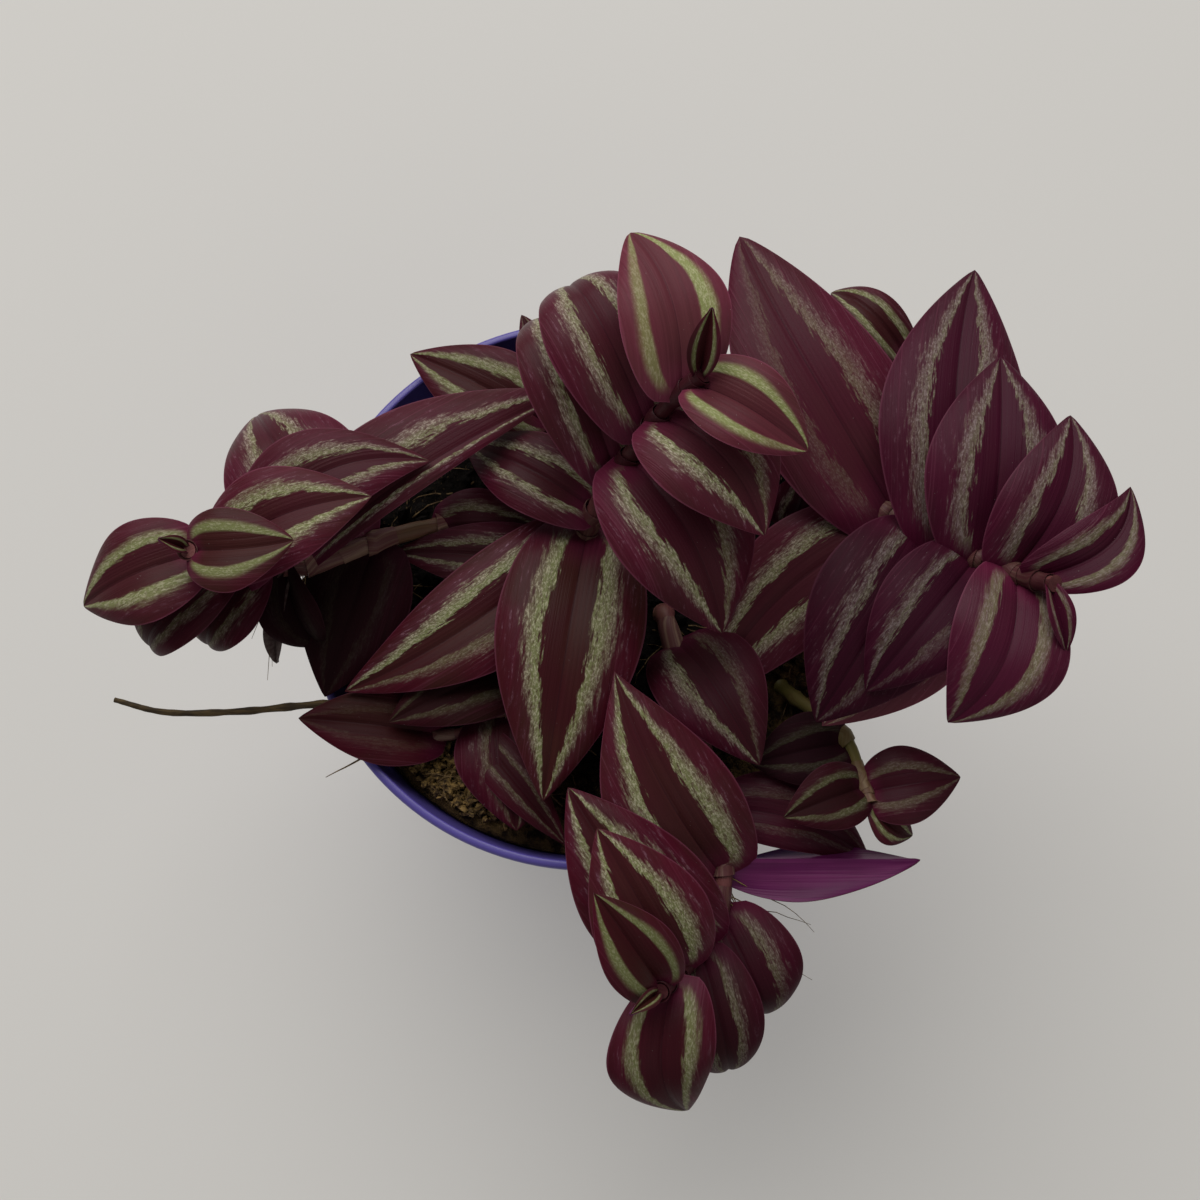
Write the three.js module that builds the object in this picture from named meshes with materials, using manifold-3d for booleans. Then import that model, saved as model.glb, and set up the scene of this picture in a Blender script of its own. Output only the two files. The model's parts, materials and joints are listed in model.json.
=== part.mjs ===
// A potted tradescantia with striped burgundy leaves, in a thin violet nursery pot.
// Millimetres, +Z up. The origin is the centre of the pot's flat underside.

import * as THREE from 'three';
import { mergeVertices } from 'three/addons/utils/BufferGeometryUtils.js';
import Module from 'manifold-3d';

const wasm = await Module();
wasm.setup();

// ---- Driving dimensions ----------------------------------------------------------------

const POT_HEIGHT = 92;
const RIM_RADIUS = 52.5;
const RIM_HEIGHT = 5;
const RIM_LIP = 0.7; // how far the rim stands out from the wall
const RIM_TOP_BEVEL = 0.8;
const RIM_UNDER_BEVEL = 0.3;
const FOOT_RADIUS = 37;
const FOOT_BEVEL = 1.5;
const WALL = 0.9;
const FLOOR = 1.6;
const FLOOR_FILLET = 2; // slope between the floor and the wall inside
const POT_SIDES = 48;

const DRAIN_RADIUS = 4;
const DRAIN_RING = 24;
const DRAIN_COUNT = 6;
const DRAIN_SIDES = 16;

const SOIL_TOP = 84;
const SOIL_SLOPE = 3; // how far in from the wall the soil's level top begins
const GAP = 0.3; // free space between neighbouring pieces

const SHOOTS_FORWARD = -2; // the whole plant stands this far off the middle of its pot
const STEM_SIDES = 8;
const STEM_ROWS = 3; // rows of faces between one node of a stem and the next
const NODE_SWELL = 1.22; // a node is this much thicker than the stem beside it

const LEAF_AROUND = 8;
const LEAF_ALONG = 9;
const LEAF_THICK = 0.8;
const LEAF_CUP = 0.3; // how far each half blade turns down again towards its margin
const LEAF_TROUGH = 1.2; // how much more steeply a blade is folded at its base
const MOST_FOLD = 62; // degrees by which a half blade is lifted at the most
const WIDEST = 0.66; // outline exponent: the blade is widest a third of the way along
const BASE_OUTLINE = 0.6; // outline power at the base, under 1 for a blunt end
const TIP_OUTLINE = 1.1; // and at the tip, over 1 for a drawn-out point
const ARCH_AT_BASE = 1.3; // the arch is fuller near the base
const ARCH_AT_TIP = 0.7;
const ARCH_REACH = 5; // how far an arched blade's middle is pushed on towards its tip

// ---- Finishes --------------------------------------------------------------------------

const finish = (color, roughness) => new THREE.MeshStandardMaterial({ color, roughness, metalness: 0 });

const VIOLET_PLASTIC = finish(0x5c50a0, 0.45);
const PEAT = finish(0x5f4b32, 0.95);
const STEM_SKIN = finish(0x96645f, 0.6);
const LEAF_SKIN = finish(0x4e2634, 0.5);
const DRY_STALK = finish(0x4a3a20, 0.85);

// ---- Shared geometry helpers -----------------------------------------------------------

// Welds a geometry into one closed surface whose faces point out.
function closed(geometry) {
  geometry.deleteAttribute('normal');
  geometry.deleteAttribute('uv');
  const merged = mergeVertices(geometry, 1e-3);
  const place = merged.getAttribute('position');
  const index = Array.from(merged.getIndex().array);
  const corner = (i) => new THREE.Vector3().fromBufferAttribute(place, i);

  const kept = [];
  let volume = 0;
  for (let i = 0; i < index.length; i += 3) {
    const [a, b, c] = index.slice(i, i + 3);
    if (a === b || b === c || c === a) continue;
    kept.push([a, b, c]);
    volume += corner(a).dot(corner(b).cross(corner(c)));
  }
  const faces = volume < 0 ? kept.map(([a, b, c]) => [a, c, b]) : kept;
  merged.setIndex(faces.flat());
  merged.computeVertexNormals();
  return merged;
}

function toSolid(geometry) {
  const shell = closed(geometry);
  return new wasm.Manifold(new wasm.Mesh({
    numProp: 3,
    vertProperties: new Float32Array(shell.getAttribute('position').array),
    triVerts: new Uint32Array(shell.getIndex().array),
  }));
}

function fromSolid(solid) {
  const mesh = solid.getMesh();
  const geometry = new THREE.BufferGeometry();
  geometry.setAttribute('position', new THREE.BufferAttribute(mesh.vertProperties, 3));
  geometry.setIndex(new THREE.BufferAttribute(mesh.triVerts, 1));
  return closed(geometry);
}

// Turns an outline of [radius, height] pairs round the upright axis.
function turned(outline) {
  const points = outline.map(([radius, height]) => new THREE.Vector2(radius, height));
  return new THREE.LatheGeometry(points, POT_SIDES).rotateX(Math.PI / 2);
}

function named(name, geometry, material) {
  const mesh = new THREE.Mesh(geometry, material);
  mesh.name = name;
  return mesh;
}

// ---- Pot -------------------------------------------------------------------------------

const WALL_TOP_RADIUS = RIM_RADIUS - RIM_LIP;

// Outer radius of the tapered wall at a height.
const wallRadius = (height) =>
  FOOT_RADIUS + (WALL_TOP_RADIUS - FOOT_RADIUS) * (height / POT_HEIGHT);

const wallInside = (height) => wallRadius(height) - WALL;

function makePot() {
  const underRim = POT_HEIGHT - RIM_HEIGHT;
  const shell = toSolid(turned([
    [0, 0],
    [FOOT_RADIUS - FOOT_BEVEL, 0],
    [wallRadius(FOOT_BEVEL), FOOT_BEVEL],
    [wallRadius(underRim), underRim],
    [RIM_RADIUS - RIM_UNDER_BEVEL, underRim + RIM_UNDER_BEVEL],
    [RIM_RADIUS, POT_HEIGHT - RIM_TOP_BEVEL],
    [RIM_RADIUS - RIM_TOP_BEVEL, POT_HEIGHT],
    [wallInside(POT_HEIGHT), POT_HEIGHT],
    [wallInside(FLOOR + FLOOR_FILLET), FLOOR + FLOOR_FILLET],
    [wallInside(FLOOR) - FLOOR_FILLET, FLOOR],
    [0, FLOOR],
  ]));
  let pot = shell;
  for (let i = 0; i < DRAIN_COUNT; i += 1) {
    const angle = (2 * Math.PI * i) / DRAIN_COUNT;
    const drill = new THREE.CylinderGeometry(DRAIN_RADIUS, DRAIN_RADIUS, 4 * FLOOR, DRAIN_SIDES)
      .rotateX(Math.PI / 2)
      .translate(DRAIN_RING * Math.cos(angle), DRAIN_RING * Math.sin(angle), 0);
    pot = pot.subtract(toSolid(drill));
  }
  return named('pot', fromSolid(pot), VIOLET_PLASTIC);
}

// ---- Soil ------------------------------------------------------------------------------

function makeSoil() {
  const inside = (height) => wallInside(height) - GAP;
  const bottom = FLOOR + GAP;
  const edge = SOIL_TOP - SOIL_SLOPE / 3;
  const soil = turned([
    [0, bottom],
    [inside(bottom) - FLOOR_FILLET, bottom],
    [inside(bottom + FLOOR_FILLET), bottom + FLOOR_FILLET],
    [inside(edge), edge],
    [inside(edge) - SOIL_SLOPE, SOIL_TOP],
    [0, SOIL_TOP],
  ]);
  return named('soil', closed(soil), PEAT);
}

// ---- Stems -----------------------------------------------------------------------------

const FOOT = SOIL_TOP + 0.8; // height of a stem's slanting lower end, just clear of the soil

// Each stem runs through its nodes, the places where leaves are joined, from the soil to its tip.
const STEMS = {
  left: {
    radius: 1.7,
    nodes: [
      [-18, 12, FOOT], [-20, 12.5, 89], [-28, 12.5, 94], [-39, 9, 97], [-51, 4, 99],
      [-59, 3.5, 102], [-64, 3, 107], [-67, 2.5, 113], [-68, 1.5, 119],
    ],
  },
  back_left: {
    radius: 1.3,
    nodes: [[5, 27, FOOT], [4, 27.5, 90], [-2, 30, 95], [-8, 31.5, 97]],
  },
  top: {
    radius: 1.8,
    nodes: [
      [-2, 2, FOOT], [-2, 5, 92], [-1, 9, 98.5], [1, 12, 105], [3, 14.5, 111],
      [5.5, 16.5, 117.5], [8.5, 19, 123], [11.5, 21.5, 129.5], [14.5, 23, 136], [18.5, 24.5, 142],
    ],
  },
  right: {
    radius: 1.8,
    nodes: [
      [34, 10, FOOT], [36, 11, 90], [44, 13, 98], [53, 12, 105], [61, 6, 110],
      [67, 1.5, 114], [72, -2, 118], [75, -4.5, 122], [77, -6, 126],
    ],
  },
  back_right: {
    radius: 1.2,
    nodes: [[30, 27, FOOT], [32, 28, 90], [43, 31, 96], [57, 36, 97], [63, 41, 97], [59.5, 44, 97]],
  },
  front: {
    radius: 1.7,
    nodes: [
      [14, -2, FOOT], [14, -3, 89], [18, -18, 90], [22, -34, 92.5], [24, -48, 95.5],
      [23, -57, 95], [20, -63.5, 97], [15.5, -68.5, 102], [12, -71.5, 110],
    ],
  },
  low_right: {
    radius: 1.3,
    nodes: [[36, -16, FOOT], [38, -19, 90], [46, -27, 95.5], [48.5, -34, 96], [50, -39, 97]],
  },
  front_left: {
    radius: 1.3,
    nodes: [[-10, -8, FOOT], [-10.5, -10, 88], [-14, -20, 90], [-22, -25, 90], [-28, -26, 89.5]],
  },
};

const curveThrough = (points) =>
  new THREE.CatmullRomCurve3(points.map((p) => new THREE.Vector3(...p)), false, 'centripetal');

for (const stem of Object.values(STEMS)) stem.curve = curveThrough(stem.nodes);

// A stem grows thinner towards its tip.
const STEM_TAPER = 0.35;
const taperAt = (share) => 1 - STEM_TAPER * share ** 2;

// A stem is turned as a straight rod with swollen nodes and then laid along its curve.
function stemGeometry(curve, radius, nodeCount, swell) {
  const rows = STEM_ROWS * (nodeCount - 1);
  const outline = [new THREE.Vector2(0, 0)];
  for (let row = 0; row <= rows; row += 1) {
    const atNode = row % STEM_ROWS === 0 && row > 0 && row < rows;
    const girth = radius * taperAt(row / rows) * (atNode ? swell : 1);
    outline.push(new THREE.Vector2(girth, row / rows));
  }
  outline.push(new THREE.Vector2(0, 1));
  const rod = new THREE.LatheGeometry(outline, STEM_SIDES);

  const sideways = [];
  let side = new THREE.Vector3(1, 0, 0);
  for (let row = 0; row <= rows; row += 1) {
    const tangent = curve.getTangent(row / rows);
    side = side.clone().addScaledVector(tangent, -side.dot(tangent)).normalize();
    sideways.push({ side, up: tangent.clone().cross(side) });
  }

  const place = rod.getAttribute('position');
  for (let i = 0; i < place.count; i += 1) {
    const along = place.getY(i);
    const { side: across, up } = sideways[Math.round(along * rows)];
    const point = curve.getPoint(along)
      .addScaledVector(across, place.getX(i))
      .addScaledVector(up, place.getZ(i));
    place.setXYZ(i, point.x, point.y, point.z);
  }
  return closed(rod);
}

function makeStem(name, { curve, radius, nodes }) {
  return named(`stem_${name}`, stemGeometry(curve, radius, nodes.length, NODE_SWELL), STEM_SKIN);
}

// The dry flower stalk that leans out over the rim.
const STALK_RADIUS = 0.7;
const STALK_POINTS = [
  [-37, -19, FOOT], [-41, -20, 91.8], [-51, -21, 94.2], [-64, -22, 93], [-78, -21.8, 91.5],
  [-87, -19.5, 91],
];

function makeStalk() {
  const curve = curveThrough(STALK_POINTS);
  return named('dry_stalk', stemGeometry(curve, STALK_RADIUS, STALK_POINTS.length, 1), DRY_STALK);
}

// ---- Leaves ----------------------------------------------------------------------------

// at: where along the stem the leaf is joined, counted in nodes from the soil.
// tip: where the leaf's point is. width: across the widest place. arch: how far the midrib
// rises over the straight line from base to tip, as a share of that line. fold: the angle in
// degrees by which each half blade is lifted. roll: the turn in degrees about the midrib, its
// right side up. bend: how far the midrib bows to its right, as a share of its length.
// right: how much of its width the right half shows where it is rolled under.
const LEAVES = {
  left: [
    { at: 4.0, tip: [-4, 36, 103], width: 27, arch: 0.15, fold: 8, right: 0.25 },
    { at: 3.5, tip: [-64.5, 37, 93], width: 27, arch: 0.17, fold: 12 },
    { at: 5.2, tip: [-70, -11, 97], width: 15, arch: 0.2, fold: 15 },
    { at: 5.5, tip: [-28, 20, 111], width: 20, arch: 0.14, fold: 15, bend: -0.15 },
    { at: 6.0, tip: [-80, -12, 100], width: 15, arch: 0.2, fold: 15 },
    { at: 6.4, tip: [-37.5, 12, 116], width: 20, arch: 0.12, fold: 18, bend: -0.05 },
    { at: 7.2, tip: [-89, -5.5, 107], width: 19, arch: 0.16, fold: 15 },
    { at: 7.9, tip: [-49.5, 2.5, 122], width: 14.5, arch: 0.1, fold: 18, bend: 0.06 },
    { at: 4.4, tip: [-59.5, -12.5, 88], width: 8, arch: 0.2, fold: 50 },
  ],
  back_left: [
    { at: 3.0, tip: [-34, 46, 96], width: 18, arch: 0.1, fold: 20 },
  ],
  top: [
    { at: 1.9, tip: [-43, -20, 97], width: 21, arch: 0.08, fold: 15, bend: -0.06 },
    { at: 2.3, tip: [-8, -39, 100], width: 27, arch: 0.12, fold: 12 },
    { at: 3.1, tip: [-23, 27.5, 98], width: 16, arch: 0.15, fold: 15 },
    { at: 4.8, tip: [-9, 46.5, 116], width: 19, arch: 0.27, fold: 15 },
    { at: 5.5, tip: [23, -12, 114], width: 25, arch: 0.2, fold: 12, bend: -0.05 },
    { at: 6.6, tip: [-4, 47.5, 126], width: 21, arch: 0.27, fold: 15 },
    { at: 7.2, tip: [29, 1, 130], width: 22, arch: 0.17, fold: 15, bend: -0.08 },
    { at: 8.3, tip: [7, 50, 140], width: 19, arch: 0.16, fold: 14, bend: 0.08 },
    { at: 8.7, tip: [35, 12, 141], width: 16, arch: 0.15, fold: 25 },
    { at: 9.0, tip: [19.5, 32.5, 150], width: 7, arch: 0.1, fold: 50 },
  ],
  right: [
    { at: 3.3, tip: [20.5, -22, 91.5], width: 22.5, arch: 0.05, fold: 6, bend: 0.1 },
    { at: 3.1, tip: [27.5, 63, 111], width: 29, arch: 0.1, fold: 12, bend: -0.04 },
    { at: 4.3, tip: [41.5, -25.5, 98.5], width: 22, arch: 0.02, fold: 12, bend: -0.1 },
    { at: 3.9, tip: [39.5, -26, 106], width: 27, arch: 0.22, fold: 15 },
    { at: 4.3, tip: [70, 56, 112], width: 27, arch: 0.12, fold: 15, bend: -0.05 },
    { at: 5.0, tip: [47, -22, 114], width: 20, arch: 0.22, fold: 15 },
    { at: 5.2, tip: [72, 36.5, 119], width: 25.5, arch: 0.15, fold: 15 },
    { at: 6.1, tip: [82, 24, 124], width: 20.5, arch: 0.15, fold: 18, bend: 0.1 },
    { at: 6.3, tip: [60.5, -27.5, 115], width: 21, arch: 0.22, fold: 15, bend: -0.12 },
    { at: 7.0, tip: [91, 11, 125], width: 14, arch: 0.15, fold: 30, bend: 0.2 },
    { at: 7.7, tip: [79, -17, 123], width: 6, arch: 0.15, fold: 50 },
  ],
  back_right: [
    { at: 5.0, tip: [46, 58.5, 96], width: 10.5, arch: 0.28, fold: 15 },
  ],
  front: [
    { at: 1.5, tip: [30, -33, 102], width: 20, arch: 0.26, fold: 12 },
    { at: 4.3, tip: [4.5, -17.5, 109], width: 24, arch: 0.12, fold: 15, bend: -0.06 },
    { at: 4.1, tip: [59, -49, 93], width: 17, arch: 0, fold: 51, roll: 216 },
    { at: 6.2, tip: [-3.5, -37.5, 108], width: 23, arch: 0.12, fold: 15, bend: -0.05 },
    { at: 5.2, tip: [31.5, -76.5, 88], width: 20, arch: 0.27, fold: 12, right: 0.68 },
    { at: 7.0, tip: [1.5, -45, 114], width: 21, arch: 0.12, fold: 15 },
    { at: 6.2, tip: [25, -86.5, 90], width: 16, arch: 0.22, fold: 12 },
    { at: 7.5, tip: [17, -92, 96], width: 19, arch: 0.2, fold: 15, bend: 0.15 },
    { at: 7.9, tip: [1, -56, 120], width: 14, arch: 0.1, fold: 25 },
    { at: 3.4, tip: [51, -48.5, 87.4], width: 17, arch: 0.1, fold: 12, bend: -0.08, right: 0.7 },
  ],
  low_right: [
    { at: 2.1, tip: [29, -32, 96], width: 14, arch: 0.12, fold: 20 },
    { at: 3.4, tip: [34, -42, 101], width: 12.5, arch: 0.12, fold: 20 },
    { at: 3.6, tip: [66, -34.5, 98], width: 14.5, arch: 0.12, fold: 15 },
    { at: 4.0, tip: [58, -44.5, 93], width: 8, arch: 0.15, fold: 30, bend: 0.15 },
  ],
  front_left: [
    { at: 1.3, tip: [-36, -24.5, 96.5], width: 16, arch: 0.14, fold: 15 },
    { at: 2.2, tip: [-13, -43.5, 92], width: 21, arch: 0.12, fold: 12 },
    { at: 4.0, tip: [-52.5, -23.5, 95], width: 15, arch: 0.1, fold: 20 },
  ],
};

const radians = THREE.MathUtils.degToRad;
const { lerp } = THREE.MathUtils;

// Where a leaf's midrib starts: just clear of the stem's skin, on the side facing the tip.
function leafRoot(stem, at, tip) {
  const share = at / (stem.nodes.length - 1);
  const onStem = stem.curve.getPoint(share);
  const tangent = stem.curve.getTangent(share);
  const outward = tip.clone().sub(onStem);
  outward.addScaledVector(tangent, -outward.dot(tangent)).normalize();
  return onStem.addScaledVector(outward, stem.radius * taperAt(share) * NODE_SWELL + GAP);
}

// A leaf is a ball pressed flat: its poles are the base and the tip, its equator the margin.
function leafGeometry(root, tip, { width, arch, fold, roll = 0, bend = 0, right = 1 }) {
  const chord = tip.clone().sub(root);
  const length = chord.length();
  const forward = chord.clone().normalize();
  const side = forward.clone().cross(new THREE.Vector3(0, 0, 1)).normalize();
  side.applyAxisAngle(forward, radians(-roll));
  const lift = side.clone().cross(forward);

  // A strongly arched leaf gains little ground near its hanging tip.
  const midrib = (t) => {
    const bow = 4 * t * (1 - t);
    return root.clone()
      .addScaledVector(chord, t + ARCH_REACH * arch ** 2 * t * (1 - t))
      .addScaledVector(lift, arch * length * bow * lerp(ARCH_AT_BASE, ARCH_AT_TIP, t))
      .addScaledVector(side, bend * length * bow);
  };

  const ball = new THREE.SphereGeometry(1, LEAF_AROUND, LEAF_ALONG);
  const place = ball.getAttribute('position');
  const uv = ball.getAttribute('uv');
  for (let i = 0; i < place.count; i += 1) {
    const t = 1 - uv.getY(i);
    const around = 2 * Math.PI * uv.getX(i);
    const across = Math.cos(around);
    const share = across > 0 ? right : 1;
    const outline = Math.sin(Math.PI * t ** WIDEST) ** lerp(BASE_OUTLINE, TIP_OUTLINE, t);
    const half = (width / 2) * share * outline;
    const angle = radians(Math.min(fold * (1 + LEAF_TROUGH * (1 - t) ** 4), MOST_FOLD));
    const rise = half * (Math.sin(angle) * Math.abs(across) - LEAF_CUP * across ** 2);
    const skin = (LEAF_THICK / 2) * Math.sin(around) * Math.sqrt(Math.sin(Math.PI * t));

    const tangent = midrib(t + 0.01).sub(midrib(t - 0.01)).normalize();
    const normal = side.clone().cross(tangent).normalize();
    const point = midrib(t)
      .addScaledVector(side, half * across * Math.cos(angle))
      .addScaledVector(normal, rise + skin);
    place.setXYZ(i, point.x, point.y, point.z);
  }
  return closed(ball);
}

function makeLeaves(name, stem, leaves) {
  return leaves.map((leaf, i) => {
    const tip = new THREE.Vector3(...leaf.tip);
    const root = leafRoot(stem, leaf.at, tip);
    return named(`leaf_${name}_${i + 1}`, leafGeometry(root, tip, leaf), LEAF_SKIN);
  });
}

// ---- The whole plant -------------------------------------------------------------------

const shoots = new THREE.Group();
shoots.position.y = SHOOTS_FORWARD;
shoots.add(makeStalk());
for (const [name, stem] of Object.entries(STEMS)) {
  shoots.add(makeStem(name, stem), ...makeLeaves(name, stem, LEAVES[name]));
}

const plant = new THREE.Group();
plant.add(makePot(), makeSoil(), shoots);

export default plant;
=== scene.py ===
# %% [markdown]
# # A potted tradescantia
#
# The plant has creeping shoots that lean over the rim of a thin violet nursery pot. Its leaves are
# burgundy with two silvery green stripes, magenta underneath, and they hide nearly all of the soil.
# This lesson builds the looks round a packed model of plain solids. It starts with the camera and the
# light, then mixes the finishes, and then makes the pot, the soil, the shoots and the leaves in turn.

# %% Load the frame
import json
import math
import random
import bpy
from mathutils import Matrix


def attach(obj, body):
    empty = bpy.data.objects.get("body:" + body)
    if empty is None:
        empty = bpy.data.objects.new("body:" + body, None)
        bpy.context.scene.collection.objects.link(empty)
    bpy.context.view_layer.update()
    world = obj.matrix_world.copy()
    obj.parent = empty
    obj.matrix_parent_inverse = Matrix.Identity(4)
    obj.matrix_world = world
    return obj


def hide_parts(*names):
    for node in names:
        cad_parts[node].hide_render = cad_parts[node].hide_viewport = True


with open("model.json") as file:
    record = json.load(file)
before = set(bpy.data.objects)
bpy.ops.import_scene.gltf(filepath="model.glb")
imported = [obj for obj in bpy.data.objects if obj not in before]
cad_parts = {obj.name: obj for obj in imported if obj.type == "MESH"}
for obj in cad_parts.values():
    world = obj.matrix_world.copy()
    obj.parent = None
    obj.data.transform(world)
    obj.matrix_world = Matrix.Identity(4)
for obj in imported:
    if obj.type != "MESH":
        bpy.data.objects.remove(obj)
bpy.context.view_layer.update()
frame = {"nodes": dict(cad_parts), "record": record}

from types import SimpleNamespace

import bpy
from mathutils import Quaternion, Vector

MM = 0.001
UP = Vector((0, 0, 1))
print("nodes in the frame:", len(frame["nodes"]))

# %% [markdown]
# ## Camera
#
# The photograph looks down on the plant from almost straight above: the line of sight is 77 degrees
# below the horizon. A camera looks along its own -Z, so lying flat it looks straight down, and a turn
# about X by 90 degrees less the elevation leans it forward. The distance comes from the pot's rim, which
# is 105 mm across and fills nearly half of the picture with a 50 mm lens.

# %% Place the camera
CAMERA_PLACE = Vector((2.0, -72.4, 392.9)) * MM
CAMERA_ELEVATION = 77
LENS = 50
SENSOR = 36

camera_data = bpy.data.cameras.new("camera")
camera_data.lens = LENS
camera_data.sensor_width = SENSOR
camera_data.clip_start = 0.01
camera_data.clip_end = 20
camera = bpy.data.objects.new("camera", camera_data)
bpy.context.scene.collection.objects.link(camera)
camera.location = CAMERA_PLACE
camera.rotation_euler = (math.radians(90 - CAMERA_ELEVATION), 0, 0)
bpy.context.scene.camera = camera
print("camera stands", round(CAMERA_PLACE.length / MM), "mm from the pot's foot")

# %% [markdown]
# ## Floor and light
#
# The light is soft and rather dim, as from a wide window on a dull day. The photograph's shadows fall
# towards its lower edge, so one large area lamp high behind the plant is the key. A weaker lamp in front
# fills the shadows, and a dim grey world lifts everything a little. The leaves shade each other, so the
# depth of the plant goes dark, and the finish of a low leaf can be mixed a little darker still. The
# standard view transform shows colours as they are mixed.

# %% Light the stage
AIM = (0, 0, 0.08)
KEY_PLACE = (-0.35, 1.10, 1.35)
KEY_SIZE = 2.0
KEY_POWER = 29.5
KEY_COLOUR = (1.0, 0.985, 0.96)
FILL_PLACE = (0.5, -0.9, 1.1)
FILL_SIZE = 1.0
FILL_POWER = 1.2
FILL_COLOUR = (1.0, 0.98, 0.95)
WORLD_LIGHT = 0.17

def area_lamp(name, place, size, power, colour):
    """A round soft lamp that looks at the middle of the plant."""
    data = bpy.data.lights.new(name, "AREA")
    data.shape = "DISK"
    data.size = size
    data.energy = power
    data.color = colour
    lamp = bpy.data.objects.new(name, data)
    bpy.context.scene.collection.objects.link(lamp)
    lamp.location = place
    lamp.rotation_euler = (Vector(AIM) - Vector(place)).to_track_quat("-Z", "Y").to_euler()

area_lamp("key", KEY_PLACE, KEY_SIZE, KEY_POWER, KEY_COLOUR)
area_lamp("fill", FILL_PLACE, FILL_SIZE, FILL_POWER, FILL_COLOUR)

world = bpy.data.worlds.new("studio")
world.use_nodes = True
background = world.node_tree.nodes["Background"]
background.inputs["Color"].default_value = (*FILL_COLOUR, 1)
background.inputs["Strength"].default_value = WORLD_LIGHT
bpy.context.scene.world = world
bpy.context.scene.view_settings.view_transform = "Standard"

# %% [markdown]
# ## A short way to write finishes
#
# Each finish below is a small tree of nodes. A `Recipe` holds one material while it is mixed, so that
# the mixing reads from top to bottom: `calc` is one sum, `step` a mask that runs softly from 0 to 1
# between two values, `mix` lays one colour over another, and `noise` is noise whose scale is the number
# of lumps per millimetre on each axis. In the functions that mix, the recipe is called `r`.

# %% Recipe
class Recipe:
    def __init__(self, name):
        self.material = bpy.data.materials.new(name)
        self.material.use_nodes = True
        self.tree = self.material.node_tree
        self.shader = self.tree.nodes["Principled BSDF"]

    def join(self, value, socket):
        if isinstance(value, bpy.types.NodeSocket):
            self.tree.links.new(value, socket)
        elif socket.type == "RGBA":
            socket.default_value = (*value, 1)
        else:
            socket.default_value = value

    def node(self, kind, *values):
        made = self.tree.nodes.new(kind)
        for value, socket in zip(values, made.inputs):
            self.join(value, socket)
        return made

    def calc(self, operation, *values):
        made = self.node("ShaderNodeMath", *values)
        made.operation = operation
        return made.outputs[0]

    def times(self, *values):
        result = values[0]
        for value in values[1:]:
            result = self.calc("MULTIPLY", result, value)
        return result

    def scaled(self, value, factor, offset=0.0):
        return self.calc("MULTIPLY_ADD", value, factor, offset)

    def inverse(self, value):
        return self.calc("SUBTRACT", 1.0, value)

    def step(self, value, start, end):
        made = self.node("ShaderNodeMapRange", value, start, end)
        made.interpolation_type = "SMOOTHSTEP"
        return made.outputs["Result"]

    def mix(self, amount, under, over):
        """Lays one colour over another. Inputs 6 and 7 and output 2 of a Mix node are its colours."""
        made = self.tree.nodes.new("ShaderNodeMix")
        made.data_type = "RGBA"
        self.join(amount, made.inputs["Factor"])
        self.join(under, made.inputs[6])
        self.join(over, made.inputs[7])
        return made.outputs[2]

    def shaded(self, colour, amount):
        made = self.tree.nodes.new("ShaderNodeVectorMath")
        made.operation = "SCALE"
        self.join(colour, made.inputs[0])
        self.join(amount, made.inputs["Scale"])
        return made.outputs[0]

    def stretched(self, vector, scale):
        made = self.tree.nodes.new("ShaderNodeVectorMath")
        made.operation = "MULTIPLY"
        self.join(vector, made.inputs[0])
        made.inputs[1].default_value = scale
        return made.outputs[0]

    def noise(self, vector, scale, detail=3.0, roughness=0.55):
        made = self.tree.nodes.new("ShaderNodeTexNoise")
        made.inputs["Scale"].default_value = 1.0
        made.inputs["Detail"].default_value = detail
        made.inputs["Roughness"].default_value = roughness
        self.join(self.stretched(vector, scale), made.inputs["Vector"])
        return made.outputs["Fac"]

    def split(self, vector):
        return self.node("ShaderNodeSeparateXYZ", vector).outputs

    def attribute(self, name, part="Vector"):
        made = self.tree.nodes.new("ShaderNodeAttribute")
        made.attribute_name = name
        return made.outputs[part]

    def uv(self, name):
        made = self.tree.nodes.new("ShaderNodeUVMap")
        made.uv_map = name
        return made.outputs[0]

    def millimetres(self):
        place = self.tree.nodes.new("ShaderNodeTexCoord").outputs["Object"]
        return self.stretched(place, (1 / MM, 1 / MM, 1 / MM))

    def finish(self, colour, roughness, shine, height=None, depth=0.1):
        """Joins the mixed colour, roughness and relief to the shader. depth is the relief's, in mm."""
        self.join(colour, self.shader.inputs["Base Color"])
        self.join(roughness, self.shader.inputs["Roughness"])
        self.shader.inputs["Specular IOR Level"].default_value = shine
        if height is not None:
            bump = self.tree.nodes.new("ShaderNodeBump")
            bump.inputs["Distance"].default_value = depth * MM
            self.join(height, bump.inputs["Height"])
            self.join(bump.outputs["Normal"], self.shader.inputs["Normal"])
        print(self.material.name, "mixed from", len(self.tree.nodes), "nodes")
        return self.material

print("a recipe can:", ", ".join(name for name in vars(Recipe) if not name.startswith("_")))
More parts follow.
